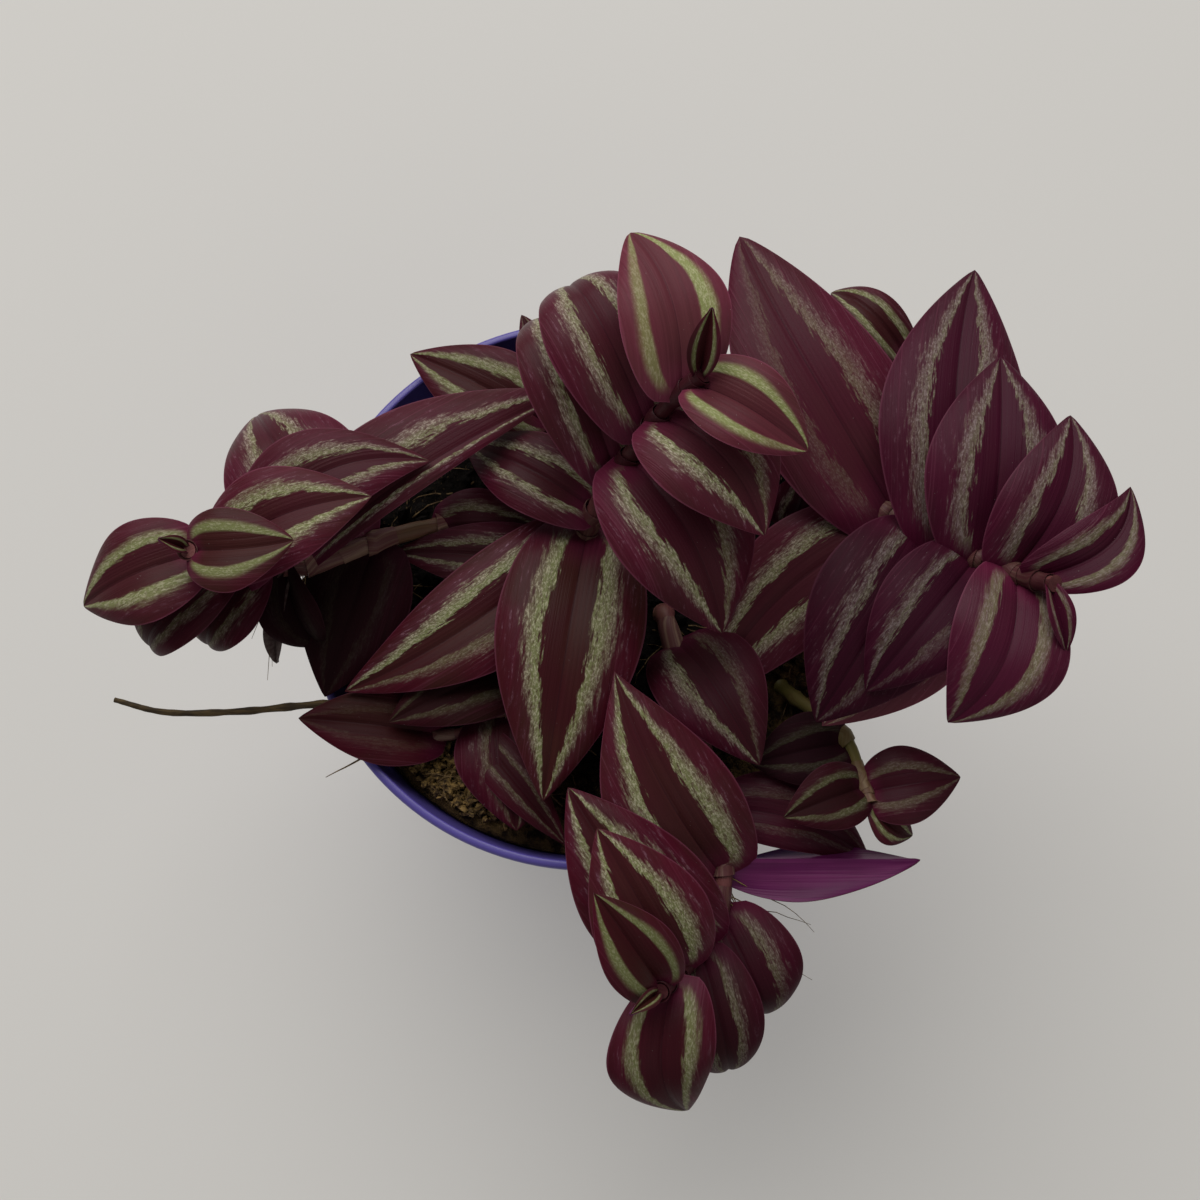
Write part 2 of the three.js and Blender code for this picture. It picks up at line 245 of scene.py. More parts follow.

# %% [markdown]
# ## The upper side of a leaf
#
# The blade is burgundy, browner in the middle and redder towards its margin. Each half carries one
# stripe that runs from base to tip. Air under the skin makes it silvery, so it breaks up into streaks
# along the veins, with dark flecks in it; its pale cells are brightened a little further as painted
# highlight, and pinkish painted glints of highlight run beside it. On a young leaf the stripe is smooth
# and clean green. The midrib crease is darkened with painted shade. The pattern follows the leaf and not
# space, so every leaf carries two attributes: `leaf_grain`, its own millimetres across and along with a
# seed of its own as the third number, and `leaf_kind`, which says how mauve, how strong and how young
# its stripes are, and as its fourth number the painted shade that darkens the leaf; below zero it is
# painted light that makes the leaf paler and redder. The leaf's UV map gives the place across, 0 to 1,
# and the place along, which is 0 at the base.

# %% Mix the upper side of a leaf
HEART_COLOUR = (0.042, 0.0066, 0.0088)
BROWN_CAST = (0.043, 0.0118, 0.0095)
EDGE_COLOUR = (0.064, 0.0038, 0.0122)
PURPLE_CAST = (0.062, 0.0040, 0.027)
GREEN_SILVER = (0.215, 0.230, 0.095)
MAUVE_SILVER = (0.225, 0.160, 0.160)
YOUNG_GREEN = (0.185, 0.200, 0.075)
PALE_CELLS = (0.620, 0.580, 0.420)
MAUVE_CELLS = (0.520, 0.430, 0.430)
ROSE_SILVER = (0.185, 0.120, 0.100)
BLOOM_COLOUR = (0.098, 0.027, 0.043)
PAINTED_GLINT_COLOUR = (0.240, 0.120, 0.165)
BASE_COLOUR = (0.120, 0.012, 0.042)
CREASE_SHADE_COLOUR = (0.020, 0.004, 0.008)
MARGIN_LINE = (0.170, 0.045, 0.080)
LIT_COLOUR = (0.110, 0.032, 0.044)
DUST_COLOUR = (0.450, 0.400, 0.380)

def mix_leaf_top():
    r = Recipe("leaf_top")
    across, along, _ = r.split(r.uv("Blade"))
    mauve, strength, youth = r.split(r.attribute("leaf_kind"))
    # The fourth number of leaf_kind is painted shade; below zero it is painted light.
    depth = r.attribute("leaf_kind", "Alpha")
    own = r.attribute("leaf_grain")
    side = r.calc("ABSOLUTE", r.scaled(across, 2.0, -1.0))

    streaks = r.noise(own, (1.9, 0.30, 1.0), 4.0, 0.6)
    drift = r.noise(own, (0.13, 0.05, 1.0), 2.0)
    flecks = r.noise(own, (2.4, 0.9, 1.0), 3.0, 0.6)
    cells = r.noise(own, (3.6, 1.5, 1.0), 3.0, 0.75)
    veins = r.noise(own, (1.9, 0.006, 1.0), 3.0, 0.65)
    ragged = r.scaled(youth, -0.9, 1.0)

    # The stripe lies a little nearer the midrib at the tip than at the base.
    inner = r.calc("SUBTRACT", r.scaled(youth, 0.12, 0.46), r.scaled(along, 0.12))
    wobble = r.times(r.scaled(streaks, 0.5, -0.25), ragged)
    sway = r.scaled(drift, 0.30, -0.15)
    from_inner = r.calc("ADD", r.calc("SUBTRACT", side, inner), r.calc("ADD", wobble, sway))
    to_outer = r.calc("SUBTRACT", r.scaled(youth, -0.01, 0.24), from_inner)
    to_outer = r.calc("ADD", to_outer, r.scaled(wobble, 2.2))
    ends = r.times(r.step(along, 0.0, 0.08), r.inverse(r.step(along, 0.965, 1.0)))
    stripe = r.times(r.step(from_inner, -0.03, 0.04), r.step(to_outer, -0.07, 0.09), ends)
    dark_flecks = r.times(r.step(flecks, 0.53, 0.64), ragged)
    stripe = r.times(stripe, r.scaled(dark_flecks, -0.70, 1.0), r.step(drift, 0.10, 0.42), strength)

    body = r.mix(r.step(side, 0.25, 0.9), HEART_COLOUR, EDGE_COLOUR)
    body = r.mix(r.step(drift, 0.35, 0.7), body, BROWN_CAST)
    body = r.mix(r.times(mauve, 0.6), body, PURPLE_CAST)
    body = r.mix(r.times(r.inverse(r.step(along, 0.0, 0.16)), 0.6), body, BASE_COLOUR)
    # Painted light: a leaf whose painted shade is below zero is mixed towards LIT_COLOUR.
    body = r.mix(r.scaled(depth, -0.5), body, LIT_COLOUR)
    body = r.shaded(body, r.scaled(veins, 0.6, 0.70))

    # The stripe is greenest at its inner edge, and a mauve bloom spreads from its outer edge.
    rosy = r.times(mauve, r.scaled(r.step(from_inner, 0.02, 0.16), 0.55, 0.45))
    silver = r.mix(rosy, GREEN_SILVER, MAUVE_SILVER)
    silver = r.mix(r.times(r.step(from_inner, 0.08, 0.24), ragged), silver, ROSE_SILVER)
    silver = r.mix(youth, silver, YOUNG_GREEN)
    # The pale cells are the silver's small blisters, brightened a little further as painted highlight.
    pale = r.times(r.step(cells, 0.46, 0.62), r.scaled(youth, -0.6, 1.0))
    silver = r.mix(r.times(pale, 0.6), r.shaded(silver, 0.85), r.mix(rosy, PALE_CELLS, MAUVE_CELLS))
    bloom = r.times(r.step(to_outer, -0.34, 0.04), r.step(from_inner, -0.04, 0.10), ends)
    body = r.mix(r.times(bloom, r.scaled(streaks, 1.1, -0.15), strength, 0.6), body, BLOOM_COLOUR)
    colour = r.mix(stripe, body, silver)

    # Painted glints of highlight run beside the stripe, between it and the margin.
    beyond = r.times(r.step(to_outer, -0.34, -0.04), r.step(from_inner, 0.10, 0.22), ends, ragged)
    painted_glint = r.times(beyond, r.step(streaks, 0.54, 0.66), r.step(cells, 0.42, 0.62), r.inverse(stripe))
    colour = r.mix(r.times(painted_glint, strength, 0.55), colour, PAINTED_GLINT_COLOUR)

    # Fine pale veins show near the margin, and a little dust lies about.
    lines = r.times(r.step(veins, 0.58, 0.66), r.step(side, 0.45, 0.85), 0.22)
    colour = r.mix(lines, colour, MARGIN_LINE)
    dust = r.step(r.noise(own, (4.2, 4.2, 1.0), 1.0), 0.80, 0.83)
    colour = r.mix(r.times(dust, 0.6), colour, DUST_COLOUR)
    # Painted shade darkens the midrib crease.
    crease = r.inverse(r.step(side, 0.006, 0.026))
    colour = r.mix(r.times(crease, 0.45), colour, CREASE_SHADE_COLOUR)
    margin = r.step(side, 0.975, 0.995)
    colour = r.mix(r.times(margin, 0.45), colour, MARGIN_LINE)
    # Painted shade: the whole colour is darkened by the leaf's painted shade, and lifted where it is
    # painted light.
    colour = r.shaded(colour, r.scaled(depth, -0.9, 1.0))
    height = r.calc("ADD", r.scaled(veins, 0.8), r.times(cells, r.scaled(stripe, 0.7, 0.2)))
    roughness = r.calc("ADD", r.scaled(veins, 0.30, 0.22), r.times(r.calc("MAXIMUM", depth, 0.0), 0.5))
    return r.finish(colour, roughness, 0.09, height, 0.16)

leaf_top = mix_leaf_top()

# %% [markdown]
# ## The underside of a leaf
#
# Underneath, the leaf is bright magenta purple all over, paler along the veins, with a faint shadow of
# the stripes showing through. It is a little glossier than the top. The same attributes place it.

# %% Mix the underside of a leaf
UNDER_COLOUR = (0.085, 0.005, 0.058)
UNDER_PALE = (0.165, 0.028, 0.110)

def mix_leaf_under():
    r = Recipe("leaf_under")
    across, along, _ = r.split(r.uv("Blade"))
    own = r.attribute("leaf_grain")
    depth = r.attribute("leaf_kind", "Alpha")
    side = r.calc("ABSOLUTE", r.scaled(across, 2.0, -1.0))
    veins = r.noise(own, (1.3, 0.02, 1.0), 2.0)
    drift = r.noise(own, (0.12, 0.08, 1.0), 2.0)
    pale = r.times(r.step(veins, 0.45, 0.75), 0.55)
    colour = r.mix(pale, UNDER_COLOUR, UNDER_PALE)
    stripe = r.times(r.step(side, 0.25, 0.45), r.inverse(r.step(side, 0.6, 0.8)), r.step(along, 0.0, 0.2))
    colour = r.mix(r.times(stripe, 0.30), colour, UNDER_PALE)
    # Painted shade: the underside is darkened by the leaf's painted shade, and lightened where that number
    # is painted light.
    colour = r.shaded(colour, r.times(r.scaled(drift, 0.9, 0.55), r.scaled(depth, -0.9, 1.0)))
    return r.finish(colour, r.scaled(veins, 0.2, 0.32), 0.2, veins, 0.15)

leaf_under = mix_leaf_under()

# %% [markdown]
# ## Stems and sheaths
#
# A stem is round and juicy, with a skin that goes from yellow-green low down to pinkish brown in the
# light, streaked along its length. The sheath that holds the leaf's base round the stem is thinner and
# pinker. Both carry `stem_grain`: millimetres around, millimetres along and a number from 0 to 1 that
# says how red the stem is.

# %% Mix the stem and sheath skins
STEM_GREEN = (0.120, 0.100, 0.025)
STEM_PINK = (0.185, 0.062, 0.060)
STEM_WINE = (0.050, 0.008, 0.013)
SHEATH_PINK = (0.140, 0.048, 0.048)
SHEATH_PALE = (0.270, 0.170, 0.120)

def mix_stem_skin():
    r = Recipe("stem_skin")
    own = r.attribute("stem_grain")
    redness = r.split(own)[2]
    streaks = r.noise(own, (1.4, 0.06, 1.0), 4.0, 0.6)
    patches = r.noise(own, (0.25, 0.10, 1.0), 2.0)
    red = r.calc("ADD", redness, r.scaled(patches, 0.5, -0.25))
    colour = r.mix(r.step(red, 0.05, 0.45), STEM_GREEN, STEM_PINK)
    colour = r.mix(r.step(red, 0.50, 0.90), colour, STEM_WINE)
    colour = r.mix(r.times(r.step(streaks, 0.5, 0.75), 0.5), colour, STEM_WINE)
    return r.finish(colour, r.scaled(streaks, 0.2, 0.38), 0.25, streaks, 0.12)

def mix_sheath_skin():
    r = Recipe("sheath_skin")
    own = r.attribute("stem_grain")
    veins = r.noise(own, (1.8, 0.05, 1.0), 3.0, 0.6)
    colour = r.mix(r.step(veins, 0.40, 0.70), SHEATH_PINK, SHEATH_PALE)
    red = r.split(own)[2]
    colour = r.mix(r.step(red, 0.05, 0.20), STEM_GREEN, colour)
    colour = r.mix(r.step(red, 0.35, 0.75), colour, STEM_WINE)
    return r.finish(colour, r.scaled(veins, 0.2, 0.40), 0.25, veins, 0.15)

stem_skin = mix_stem_skin()
sheath_skin = mix_sheath_skin()

# %% [markdown]
# ## Pot, peat and dry matter
#
# The pot is satin violet plastic, with faint scuffs that are paler and rougher. Peat is brown to gold
# where it is dry, which shows only near the rim at the front, where the light falls on it; everywhere
# else it is wet and dark, painted nearly black as painted shade under the leaves. Dry shreds, roots and
# the dead stalk are straw coloured to dark brown, and the dead leaf is greyer. All of these read the
# piece's own millimetres.

# %% Mix the plastic, the peat and the dry finishes
VIOLET = (0.098, 0.075, 0.340)
VIOLET_SCUFF = (0.200, 0.170, 0.480)
# The wet peat colour is darkened to near black as painted shade.
WET_PEAT_IN_SHADE = (0.0060, 0.0035, 0.0022)
BROWN_PEAT = (0.022, 0.013, 0.006)
GOLD_PEAT = (0.170, 0.105, 0.036)
DRY_DARK = (0.035, 0.022, 0.010)
DRY_STRAW = (0.260, 0.170, 0.075)
DEAD_GREY = (0.085, 0.060, 0.055)
DEAD_BROWN = (0.045, 0.020, 0.020)
STALK_LIGHT = (0.095, 0.062, 0.024)
STRAW_DARK = (0.090, 0.052, 0.022)
SHRED_DARK = (0.030, 0.016, 0.006)
SHRED_GOLD = (0.340, 0.215, 0.070)

def mix_pot_plastic():
    r = Recipe("pot_plastic")
    place = r.millimetres()
    ripple = r.noise(place, (0.05, 0.05, 0.02), 2.0)
    scuffs = r.noise(place, (0.35, 0.35, 1.6), 5.0, 0.7)
    dust = r.noise(place, (2.5, 2.5, 2.5), 2.0)
    worn = r.times(r.step(scuffs, 0.58, 0.72), r.step(dust, 0.4, 0.65))
    colour = r.mix(r.times(worn, 0.55), VIOLET, VIOLET_SCUFF)
    colour = r.shaded(colour, r.scaled(ripple, 0.35, 0.82))
    height = r.calc("ADD", ripple, r.scaled(worn, 0.15))
    return r.finish(colour, r.scaled(worn, 0.25, 0.34), 0.5, height, 0.12)

def mix_peat():
    r = Recipe("peat")
    place = r.millimetres()
    clumps = r.noise(place, (0.35, 0.35, 0.35), 5.0, 0.65)
    crumbs = r.noise(place, (1.8, 1.8, 1.8), 4.0, 0.7)
    strands = r.noise(place, (3.0, 0.7, 1.5), 3.0)
    x, y, _ = r.split(place)
    rim = r.calc("SQRT", r.calc("ADD", r.times(x, x), r.times(y, y)))
    dry = r.mix(r.step(clumps, 0.38, 0.60), BROWN_PEAT, GOLD_PEAT)
    # Painted light and shade: the dry gold shows only near the front rim where light falls, and the rest
    # is near-black painted shade.
    lit_and_dry = r.times(r.step(rim, 30.0, 42.0), r.step(y, 5.0, -20.0))
    colour = r.mix(lit_and_dry, WET_PEAT_IN_SHADE, dry)
    colour = r.mix(r.times(r.step(strands, 0.60, 0.72), r.step(rim, 28.0, 44.0), 0.6), colour, DRY_STRAW)
    colour = r.shaded(colour, r.scaled(crumbs, 1.4, 0.3))
    return r.finish(colour, 0.9, 0.2, r.calc("ADD", crumbs, clumps), 1.2)

def mix_dry(name, dark, light, along_scale):
    r = Recipe(name)
    place = r.millimetres()
    bands = r.noise(place, (along_scale, 1.2, 1.2), 4.0, 0.6)
    colour = r.mix(r.step(bands, 0.35, 0.68), dark, light)
    return r.finish(colour, 0.75, 0.3, bands, 0.2)

pot_plastic = mix_pot_plastic()
peat = mix_peat()
dry_stalk_skin = mix_dry("dry_stalk_skin", DRY_DARK, STALK_LIGHT, 0.25)
straw = mix_dry("straw", STRAW_DARK, DRY_STRAW, 0.8)
dry_peat = mix_dry("dry_peat", SHRED_DARK, SHRED_GOLD, 0.7)
dead_leaf = mix_dry("dead_leaf", DEAD_BROWN, DEAD_GREY, 0.5)

# %% [markdown]
# ## Helpers for pieces
#
# A finished piece belongs to the root body and stands for one or more plain solids of the frame, which it
# hides. `settle` says all that in one place. Operators act on whatever is selected, so `alone` first
# clears the selection and picks one object.

# %% Piece helpers
def alone(piece):
    bpy.ops.object.select_all(action="DESELECT")
    piece.select_set(True)
    bpy.context.view_layer.objects.active = piece

def apply_modifier(piece, modifier):
    alone(piece)
    bpy.ops.object.modifier_apply(modifier=modifier.name)

def settle(piece, slot, *nodes, smooth=None):
    alone(piece)
    bpy.ops.object.transform_apply(location=True, rotation=True, scale=True)
    if smooth is not None:
        bpy.ops.object.shade_smooth_by_angle(angle=math.radians(smooth))
    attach(piece, "root")
    if nodes:
        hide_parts(*nodes)

def mesh_piece(name, vertices, faces, *materials):
    mesh = bpy.data.meshes.new(name)
    mesh.from_pydata([tuple(v) for v in vertices], [], faces)
    mesh.validate()
    piece = bpy.data.objects.new(name, mesh)
    bpy.context.scene.collection.objects.link(piece)
    for material in materials:
        mesh.materials.append(material)
    return piece

def vector_attribute(mesh, name, values):
    layer = mesh.attributes.new(name, "FLOAT_VECTOR", "POINT")
    layer.data.foreach_set("vector", [number for value in values for number in value])

print("piece helpers ready")

# %% [markdown]
# ## The pot
#
# A nursery pot is one thin skin of moulded plastic: a flat foot with drain holes, a tapered wall with a
# small shoulder so that pots don't jam when stacked, and a rim that stands out with a rounded top edge.
# In edit mode this is a circle that is extruded and scaled ring by ring, up the outside, over the rim and
# down the inside. `pot_outline` lists the rings, each a radius and a height in millimetres.

# %% Turn the pot
POT_HEIGHT = 92
RIM_RADIUS = 52.5
RIM_HEIGHT = 5
RIM_LIP = 0.7
FOOT_RADIUS = 37
WALL = 0.9
FLOOR = 1.6
SHOULDER_HEIGHT = 77
SHOULDER_STEP = 0.5
RIM_ROUND = 0.8
INSIDE_ROUND = 0.45
LIP_ROUND = 0.4
LIP_LEAN = 0.2
FLARE = 0.6
FLARE_START = 0.8
FLARE_END = 0.2
FOOT_ROUND = 1.2
DISC_UNDER = 31
DISC_INSIDE = 28
WALL_RINGS = (8, 30, 52, 76)
INNER_RINGS = (86, 60, 30)
FLOOR_FILLET = 2
POT_SIDES = 144

def wall_radius(height):
    return FOOT_RADIUS + (RIM_RADIUS - RIM_LIP - FOOT_RADIUS) * height / POT_HEIGHT

def arc(radius, height, size, start, end, steps):
    """Points on a circle of that size round a centre, from one angle to another, in degrees."""
    turns = [math.radians(start + (end - start) * i / steps) for i in range(steps + 1)]
    return [(radius + size * math.cos(a), height + size * math.sin(a)) for a in turns]

def turned(name, outline, sides):
    """A closed shell of rings: the first and last ring are filled."""
    radius, height = outline[0]
    bpy.ops.object.select_all(action="DESELECT")
    bpy.ops.mesh.primitive_circle_add(
        vertices=sides, radius=radius * MM, location=(0, 0, height * MM), fill_type="NGON"
    )
    piece = bpy.context.object
    piece.name = piece.data.name = name
    alone(piece)
    bpy.ops.object.transform_apply(location=True)
    bpy.ops.object.mode_set(mode="EDIT")
    bpy.ops.mesh.select_all(action="SELECT")
    for next_radius, next_height in outline[1:]:
        rise = (0, 0, (next_height - height) * MM)
        bpy.ops.mesh.extrude_edges_move(TRANSFORM_OT_translate={"value": rise})
        growth = next_radius / radius
        middle = (0, 0, next_height * MM)
        bpy.ops.transform.resize(value=(growth, growth, 1), center_override=middle)
        radius, height = next_radius, next_height
    bpy.ops.mesh.edge_face_add()
    bpy.ops.mesh.select_all(action="SELECT")
    bpy.ops.mesh.normals_make_consistent(inside=False)
    bpy.ops.object.mode_set(mode="OBJECT")
    return piece

def pot_outline():
    under_rim = POT_HEIGHT - RIM_HEIGHT
    inner_top = wall_radius(POT_HEIGHT) - WALL
    outline = [(DISC_UNDER, 0)]
    outline += arc(FOOT_RADIUS - FOOT_ROUND, FOOT_ROUND, FOOT_ROUND, -90, -15, 4)
    outline += [(wall_radius(h), h) for h in WALL_RINGS]
    shoulder = (SHOULDER_HEIGHT, under_rim - FLARE_START)
    outline += [(wall_radius(h) + SHOULDER_STEP, h) for h in shoulder]
    outline += [(wall_radius(under_rim) + FLARE, under_rim - FLARE_END)]
    outline += arc(RIM_RADIUS - LIP_LEAN - LIP_ROUND, under_rim + LIP_ROUND, LIP_ROUND, -90, 0, 3)
    outline += arc(RIM_RADIUS - RIM_ROUND, POT_HEIGHT - RIM_ROUND, RIM_ROUND, 0, 90, 5)
    outline += arc(inner_top + INSIDE_ROUND, POT_HEIGHT - INSIDE_ROUND, INSIDE_ROUND, 90, 180, 4)
    outline += [(wall_radius(h) - WALL, h) for h in (*INNER_RINGS, FLOOR + FLOOR_FILLET)]
    outline += [(wall_radius(0) - WALL - FLOOR_FILLET, FLOOR), (DISC_INSIDE, FLOOR)]
    return outline

pot = turned("nursery_pot", pot_outline(), POT_SIDES)
print("pot shell:", len(pot.data.polygons), "faces")

# %% [markdown]
# Six drain holes lie in a ring in the foot. Each is cut by a Boolean modifier with a cylinder that
# reaches through the floor.

# %% Drill the drain holes
DRAIN_RADIUS = 4
DRAIN_RING = 24
DRAIN_COUNT = 6
DRILL_LONG = 20
DRILL_SIDES = 32

for i in range(DRAIN_COUNT):
    turn = 2 * math.pi * i / DRAIN_COUNT
    middle = (DRAIN_RING * MM * math.cos(turn), DRAIN_RING * MM * math.sin(turn), 0)
    bpy.ops.mesh.primitive_cylinder_add(
        vertices=DRILL_SIDES, radius=DRAIN_RADIUS * MM, depth=DRILL_LONG * MM, location=middle
    )
    drill = bpy.context.object
    cut = pot.modifiers.new("drain", "BOOLEAN")
    cut.object = drill
    apply_modifier(pot, cut)
    bpy.data.objects.remove(drill)
pot.data.materials.clear()
pot.data.materials.append(pot_plastic)
settle(pot, "pot", "pot", smooth=40)
print("pot with", DRAIN_COUNT, "drain holes:", len(pot.data.polygons), "faces")

# %% [markdown]
# ## The soil
#
# Peat fills the pot up to a few millimetres under the rim. A turned solid with many fine rings on top is
# roughened by two Displace modifiers with procedural clouds, a coarse one for the heaps and a fine one
# for the crumbs. Only the top is in the vertex group, so the sides still clear the pot.

# %% Turn and roughen the soil
SOIL_TOP = 84
SOIL_BRIM = 82
SOIL_FOOT = 2
CHAMFER_WIDE = 3
CHAMFER_HIGH = 2
EDGE_INSET = 0.4
EDGE_DROP = 1
TOP_BAND = 1.5
SOIL_RINGS = 52
SOIL_SIDES = 160
GAP = 0.3
HEAPS = {"size": 9.0, "height": 4.0}
GRAINS = {"size": 1.6, "height": 2.2}

def soil_outline():
    """Up the side, and then inwards over the top in many rings."""
    shelf = SOIL_FOOT + CHAMFER_HIGH
    low, high = [wall_radius(h) - WALL - GAP for h in (shelf, SOIL_BRIM)]
    outline = [(low - CHAMFER_WIDE, SOIL_FOOT), (low, shelf), (high, SOIL_BRIM)]
    outline += [(high - EDGE_INSET, SOIL_TOP - EDGE_DROP)]
    for i in range(1, SOIL_RINGS):
        outline.append(((high - EDGE_INSET) * (1 - i / SOIL_RINGS), SOIL_TOP))
    return outline

soil = turned("peat_soil", soil_outline(), SOIL_SIDES)
top = soil.vertex_groups.new(name="top")
top.add([v.index for v in soil.data.vertices if v.co.z > (SOIL_TOP - TOP_BAND) * MM], 1.0, "REPLACE")
for relief in (HEAPS, GRAINS):
    clouds = bpy.data.textures.new("clouds", "CLOUDS")
    clouds.noise_scale = relief["size"] * MM
    clouds.noise_depth = 3
    roughen = soil.modifiers.new("roughen", "DISPLACE")
    roughen.texture = clouds
    roughen.texture_coords = "LOCAL"
    roughen.direction = "Z"
    roughen.strength = relief["height"] * MM
    roughen.mid_level = 0.55
    roughen.vertex_group = "top"
    apply_modifier(soil, roughen)
soil.data.materials.clear()
soil.data.materials.append(peat)
settle(soil, "soil", "soil", smooth=180)
highest = max(v.co.z for v in soil.data.vertices)
print("soil:", len(soil.data.polygons), "faces, highest point", round(highest / MM, 1))

# %% [markdown]
# ## Crumbs
#
# Real peat is a heap of small lumps and plant fibres. A lump is a coarse ball of twenty faces that is
# squashed and turned differently each time. The lumps are strewn by a seeded draw, and they all share one
# mesh.

# %% Strew the crumbs
CRUMB_COUNT = 900
CRUMB_SIZES = (0.5, 0.7, 0.9, 1.2, 1.7)
CRUMB_REACH = 46.5
draw = random.Random(11)

def soil_place(reach):
    """A place on the soil within that reach of the pot's middle."""
    turn = draw.uniform(0, 2 * math.pi)
    radius = reach * math.sqrt(draw.random())
    return Vector((radius * math.cos(turn), radius * math.sin(turn), SOIL_TOP)) * MM

bpy.ops.mesh.primitive_ico_sphere_add(subdivisions=1, radius=1)
ball = bpy.context.object
ball_points = [v.co.copy() for v in ball.data.vertices]
ball_faces = [tuple(p.vertices) for p in ball.data.polygons]
bpy.data.objects.remove(ball)

def lump(points, faces, middle, size, longest=1.5):
    """A squashed ball of twenty faces."""
    stretch = Vector((draw.uniform(0.6, longest), draw.uniform(0.6, 1.2), draw.uniform(0.5, 0.9))) * size
    turn = Quaternion([draw.gauss(0, 1) for _ in range(4)]).normalized()
    start = len(points)
    for p in ball_points:
        rough = 1 + draw.uniform(-0.3, 0.3)
        squashed = Vector((p.x * stretch.x, p.y * stretch.y, p.z * stretch.z))
        points.append(middle + turn @ squashed * rough)
    faces += [tuple(start + corner for corner in face) for face in ball_faces]

points, faces = [], []
for _ in range(CRUMB_COUNT):
    middle = soil_place(CRUMB_REACH)
    middle.z += draw.uniform(-0.6, 1.0) * MM
    lump(points, faces, middle, draw.choice(CRUMB_SIZES) * MM)
crumbs = mesh_piece("peat_crumbs", points, faces, peat)
settle(crumbs, "soil")
print("crumbs:", len(crumbs.data.polygons), "faces")

# %% [markdown]
# Near the rim at the front left the peat lies open to the light. Drier, golden crumbs and shreds are
# heaped there by a draw that thins out with the distance from the middle of the heap.

# %% Heap dry crumbs at the front left
SHRED_COUNT = 1100
SHRED_SIZES = (0.3, 0.4, 0.5, 0.65, 0.9)
HEAP_MIDDLE = Vector((-29, -36, 0)) * MM
HEAP_SPREAD = (6.5, 5.0)
HEAP_SLANT = (0.8, -0.6)
HEAP_HEIGHT = 3.2
HEAP_RADIUS = 9
HEAP_LIFT = 0.4
HEAP_REACH = 47.3

def heap_place():
    """A place in a heap that is drawn out along the rim."""
    away = Vector([draw.gauss(0, spread) for spread in HEAP_SPREAD] + [0]) * MM
    slanted = Vector((away.x + away.y * HEAP_SLANT[0], away.y + away.x * HEAP_SLANT[1], 0))
    place = HEAP_MIDDLE + slanted
    height = HEAP_HEIGHT * math.exp(-((away.length / MM / HEAP_RADIUS) ** 2)) * draw.random()
    place.z = (SOIL_TOP + HEAP_LIFT + height) * MM
    return place

points, faces = [], []
for _ in range(SHRED_COUNT):
    middle = heap_place()
    if middle.xy.length < HEAP_REACH * MM:
        lump(points, faces, middle, draw.choice(SHRED_SIZES) * MM, longest=2.6)
heap = mesh_piece("dry_crumbs", points, faces, dry_peat)
settle(heap, "soil")
print("dry crumbs:", len(heap.data.polygons), "faces")

# %% [markdown]
# ## Threads
#
# Fibres and hair roots are threads: a ring of a few points carried along a line and closed at both ends.
# `thread` adds one to growing lists, so that many can share a mesh, and `wandering` draws the line. A
# third of the fibres stick out of the heap, and one longer straw lies over the rim beside it.

# %% Spin the fibres
THREAD_SIDES = 4
TIP_SHARE = 0.3
FIBRE_COUNT = 300
FIBRE_START = 43
FIBRE_REACH = 47.5
STRAW_START = Vector((-40.5, -31.5, SOIL_TOP + 5.5)) * MM
STRAW_HEADING = Vector((-0.9, -0.4, 0.25))
STRAW_LENGTH = 9
STRAW_RADIUS = 0.22

def thread(points, faces, line, radius_mm):
    """A closed thread along the line, thinner towards its tip."""
    start = len(points)
    last = len(line) - 1
    side = None
    for i, middle in enumerate(line):
        heading = (line[min(i + 1, last)] - line[max(i - 1, 0)]).normalized()
        guide = side if side is not None else (UP if abs(heading.z) < 0.9 else Vector((1, 0, 0)))
        side = (guide - heading * guide.dot(heading)).normalized()
        other = heading.cross(side)
        girth = radius_mm * MM * (1 - (1 - TIP_SHARE) * i / last)
        for k in range(THREAD_SIDES):
            turn = 2 * math.pi * k / THREAD_SIDES
            points.append(middle + (side * math.cos(turn) + other * math.sin(turn)) * girth)
    for i in range(last):
        ring = start + i * THREAD_SIDES
        for k in range(THREAD_SIDES):
            near = ring + k
            beside = ring + (k + 1) % THREAD_SIDES
            faces.append((near, beside, beside + THREAD_SIDES, near + THREAD_SIDES))
    faces.append(tuple(start + k for k in reversed(range(THREAD_SIDES))))
    faces.append(tuple(start + last * THREAD_SIDES + k for k in range(THREAD_SIDES)))

def wandering(start, heading, length_mm, steps, restless, fall=0.0):
    """A line of points that strays a little at each step and may sink as it goes."""
    line = [start.copy()]
    heading = heading.normalized()
    for _ in range(steps):
        stray = Vector((draw.gauss(0, 1), draw.gauss(0, 1), draw.gauss(0, 0.5) - fall)) * restless
        heading = (heading + stray).normalized()
        line.append(line[-1] + heading * (length_mm * MM / steps))
    return line

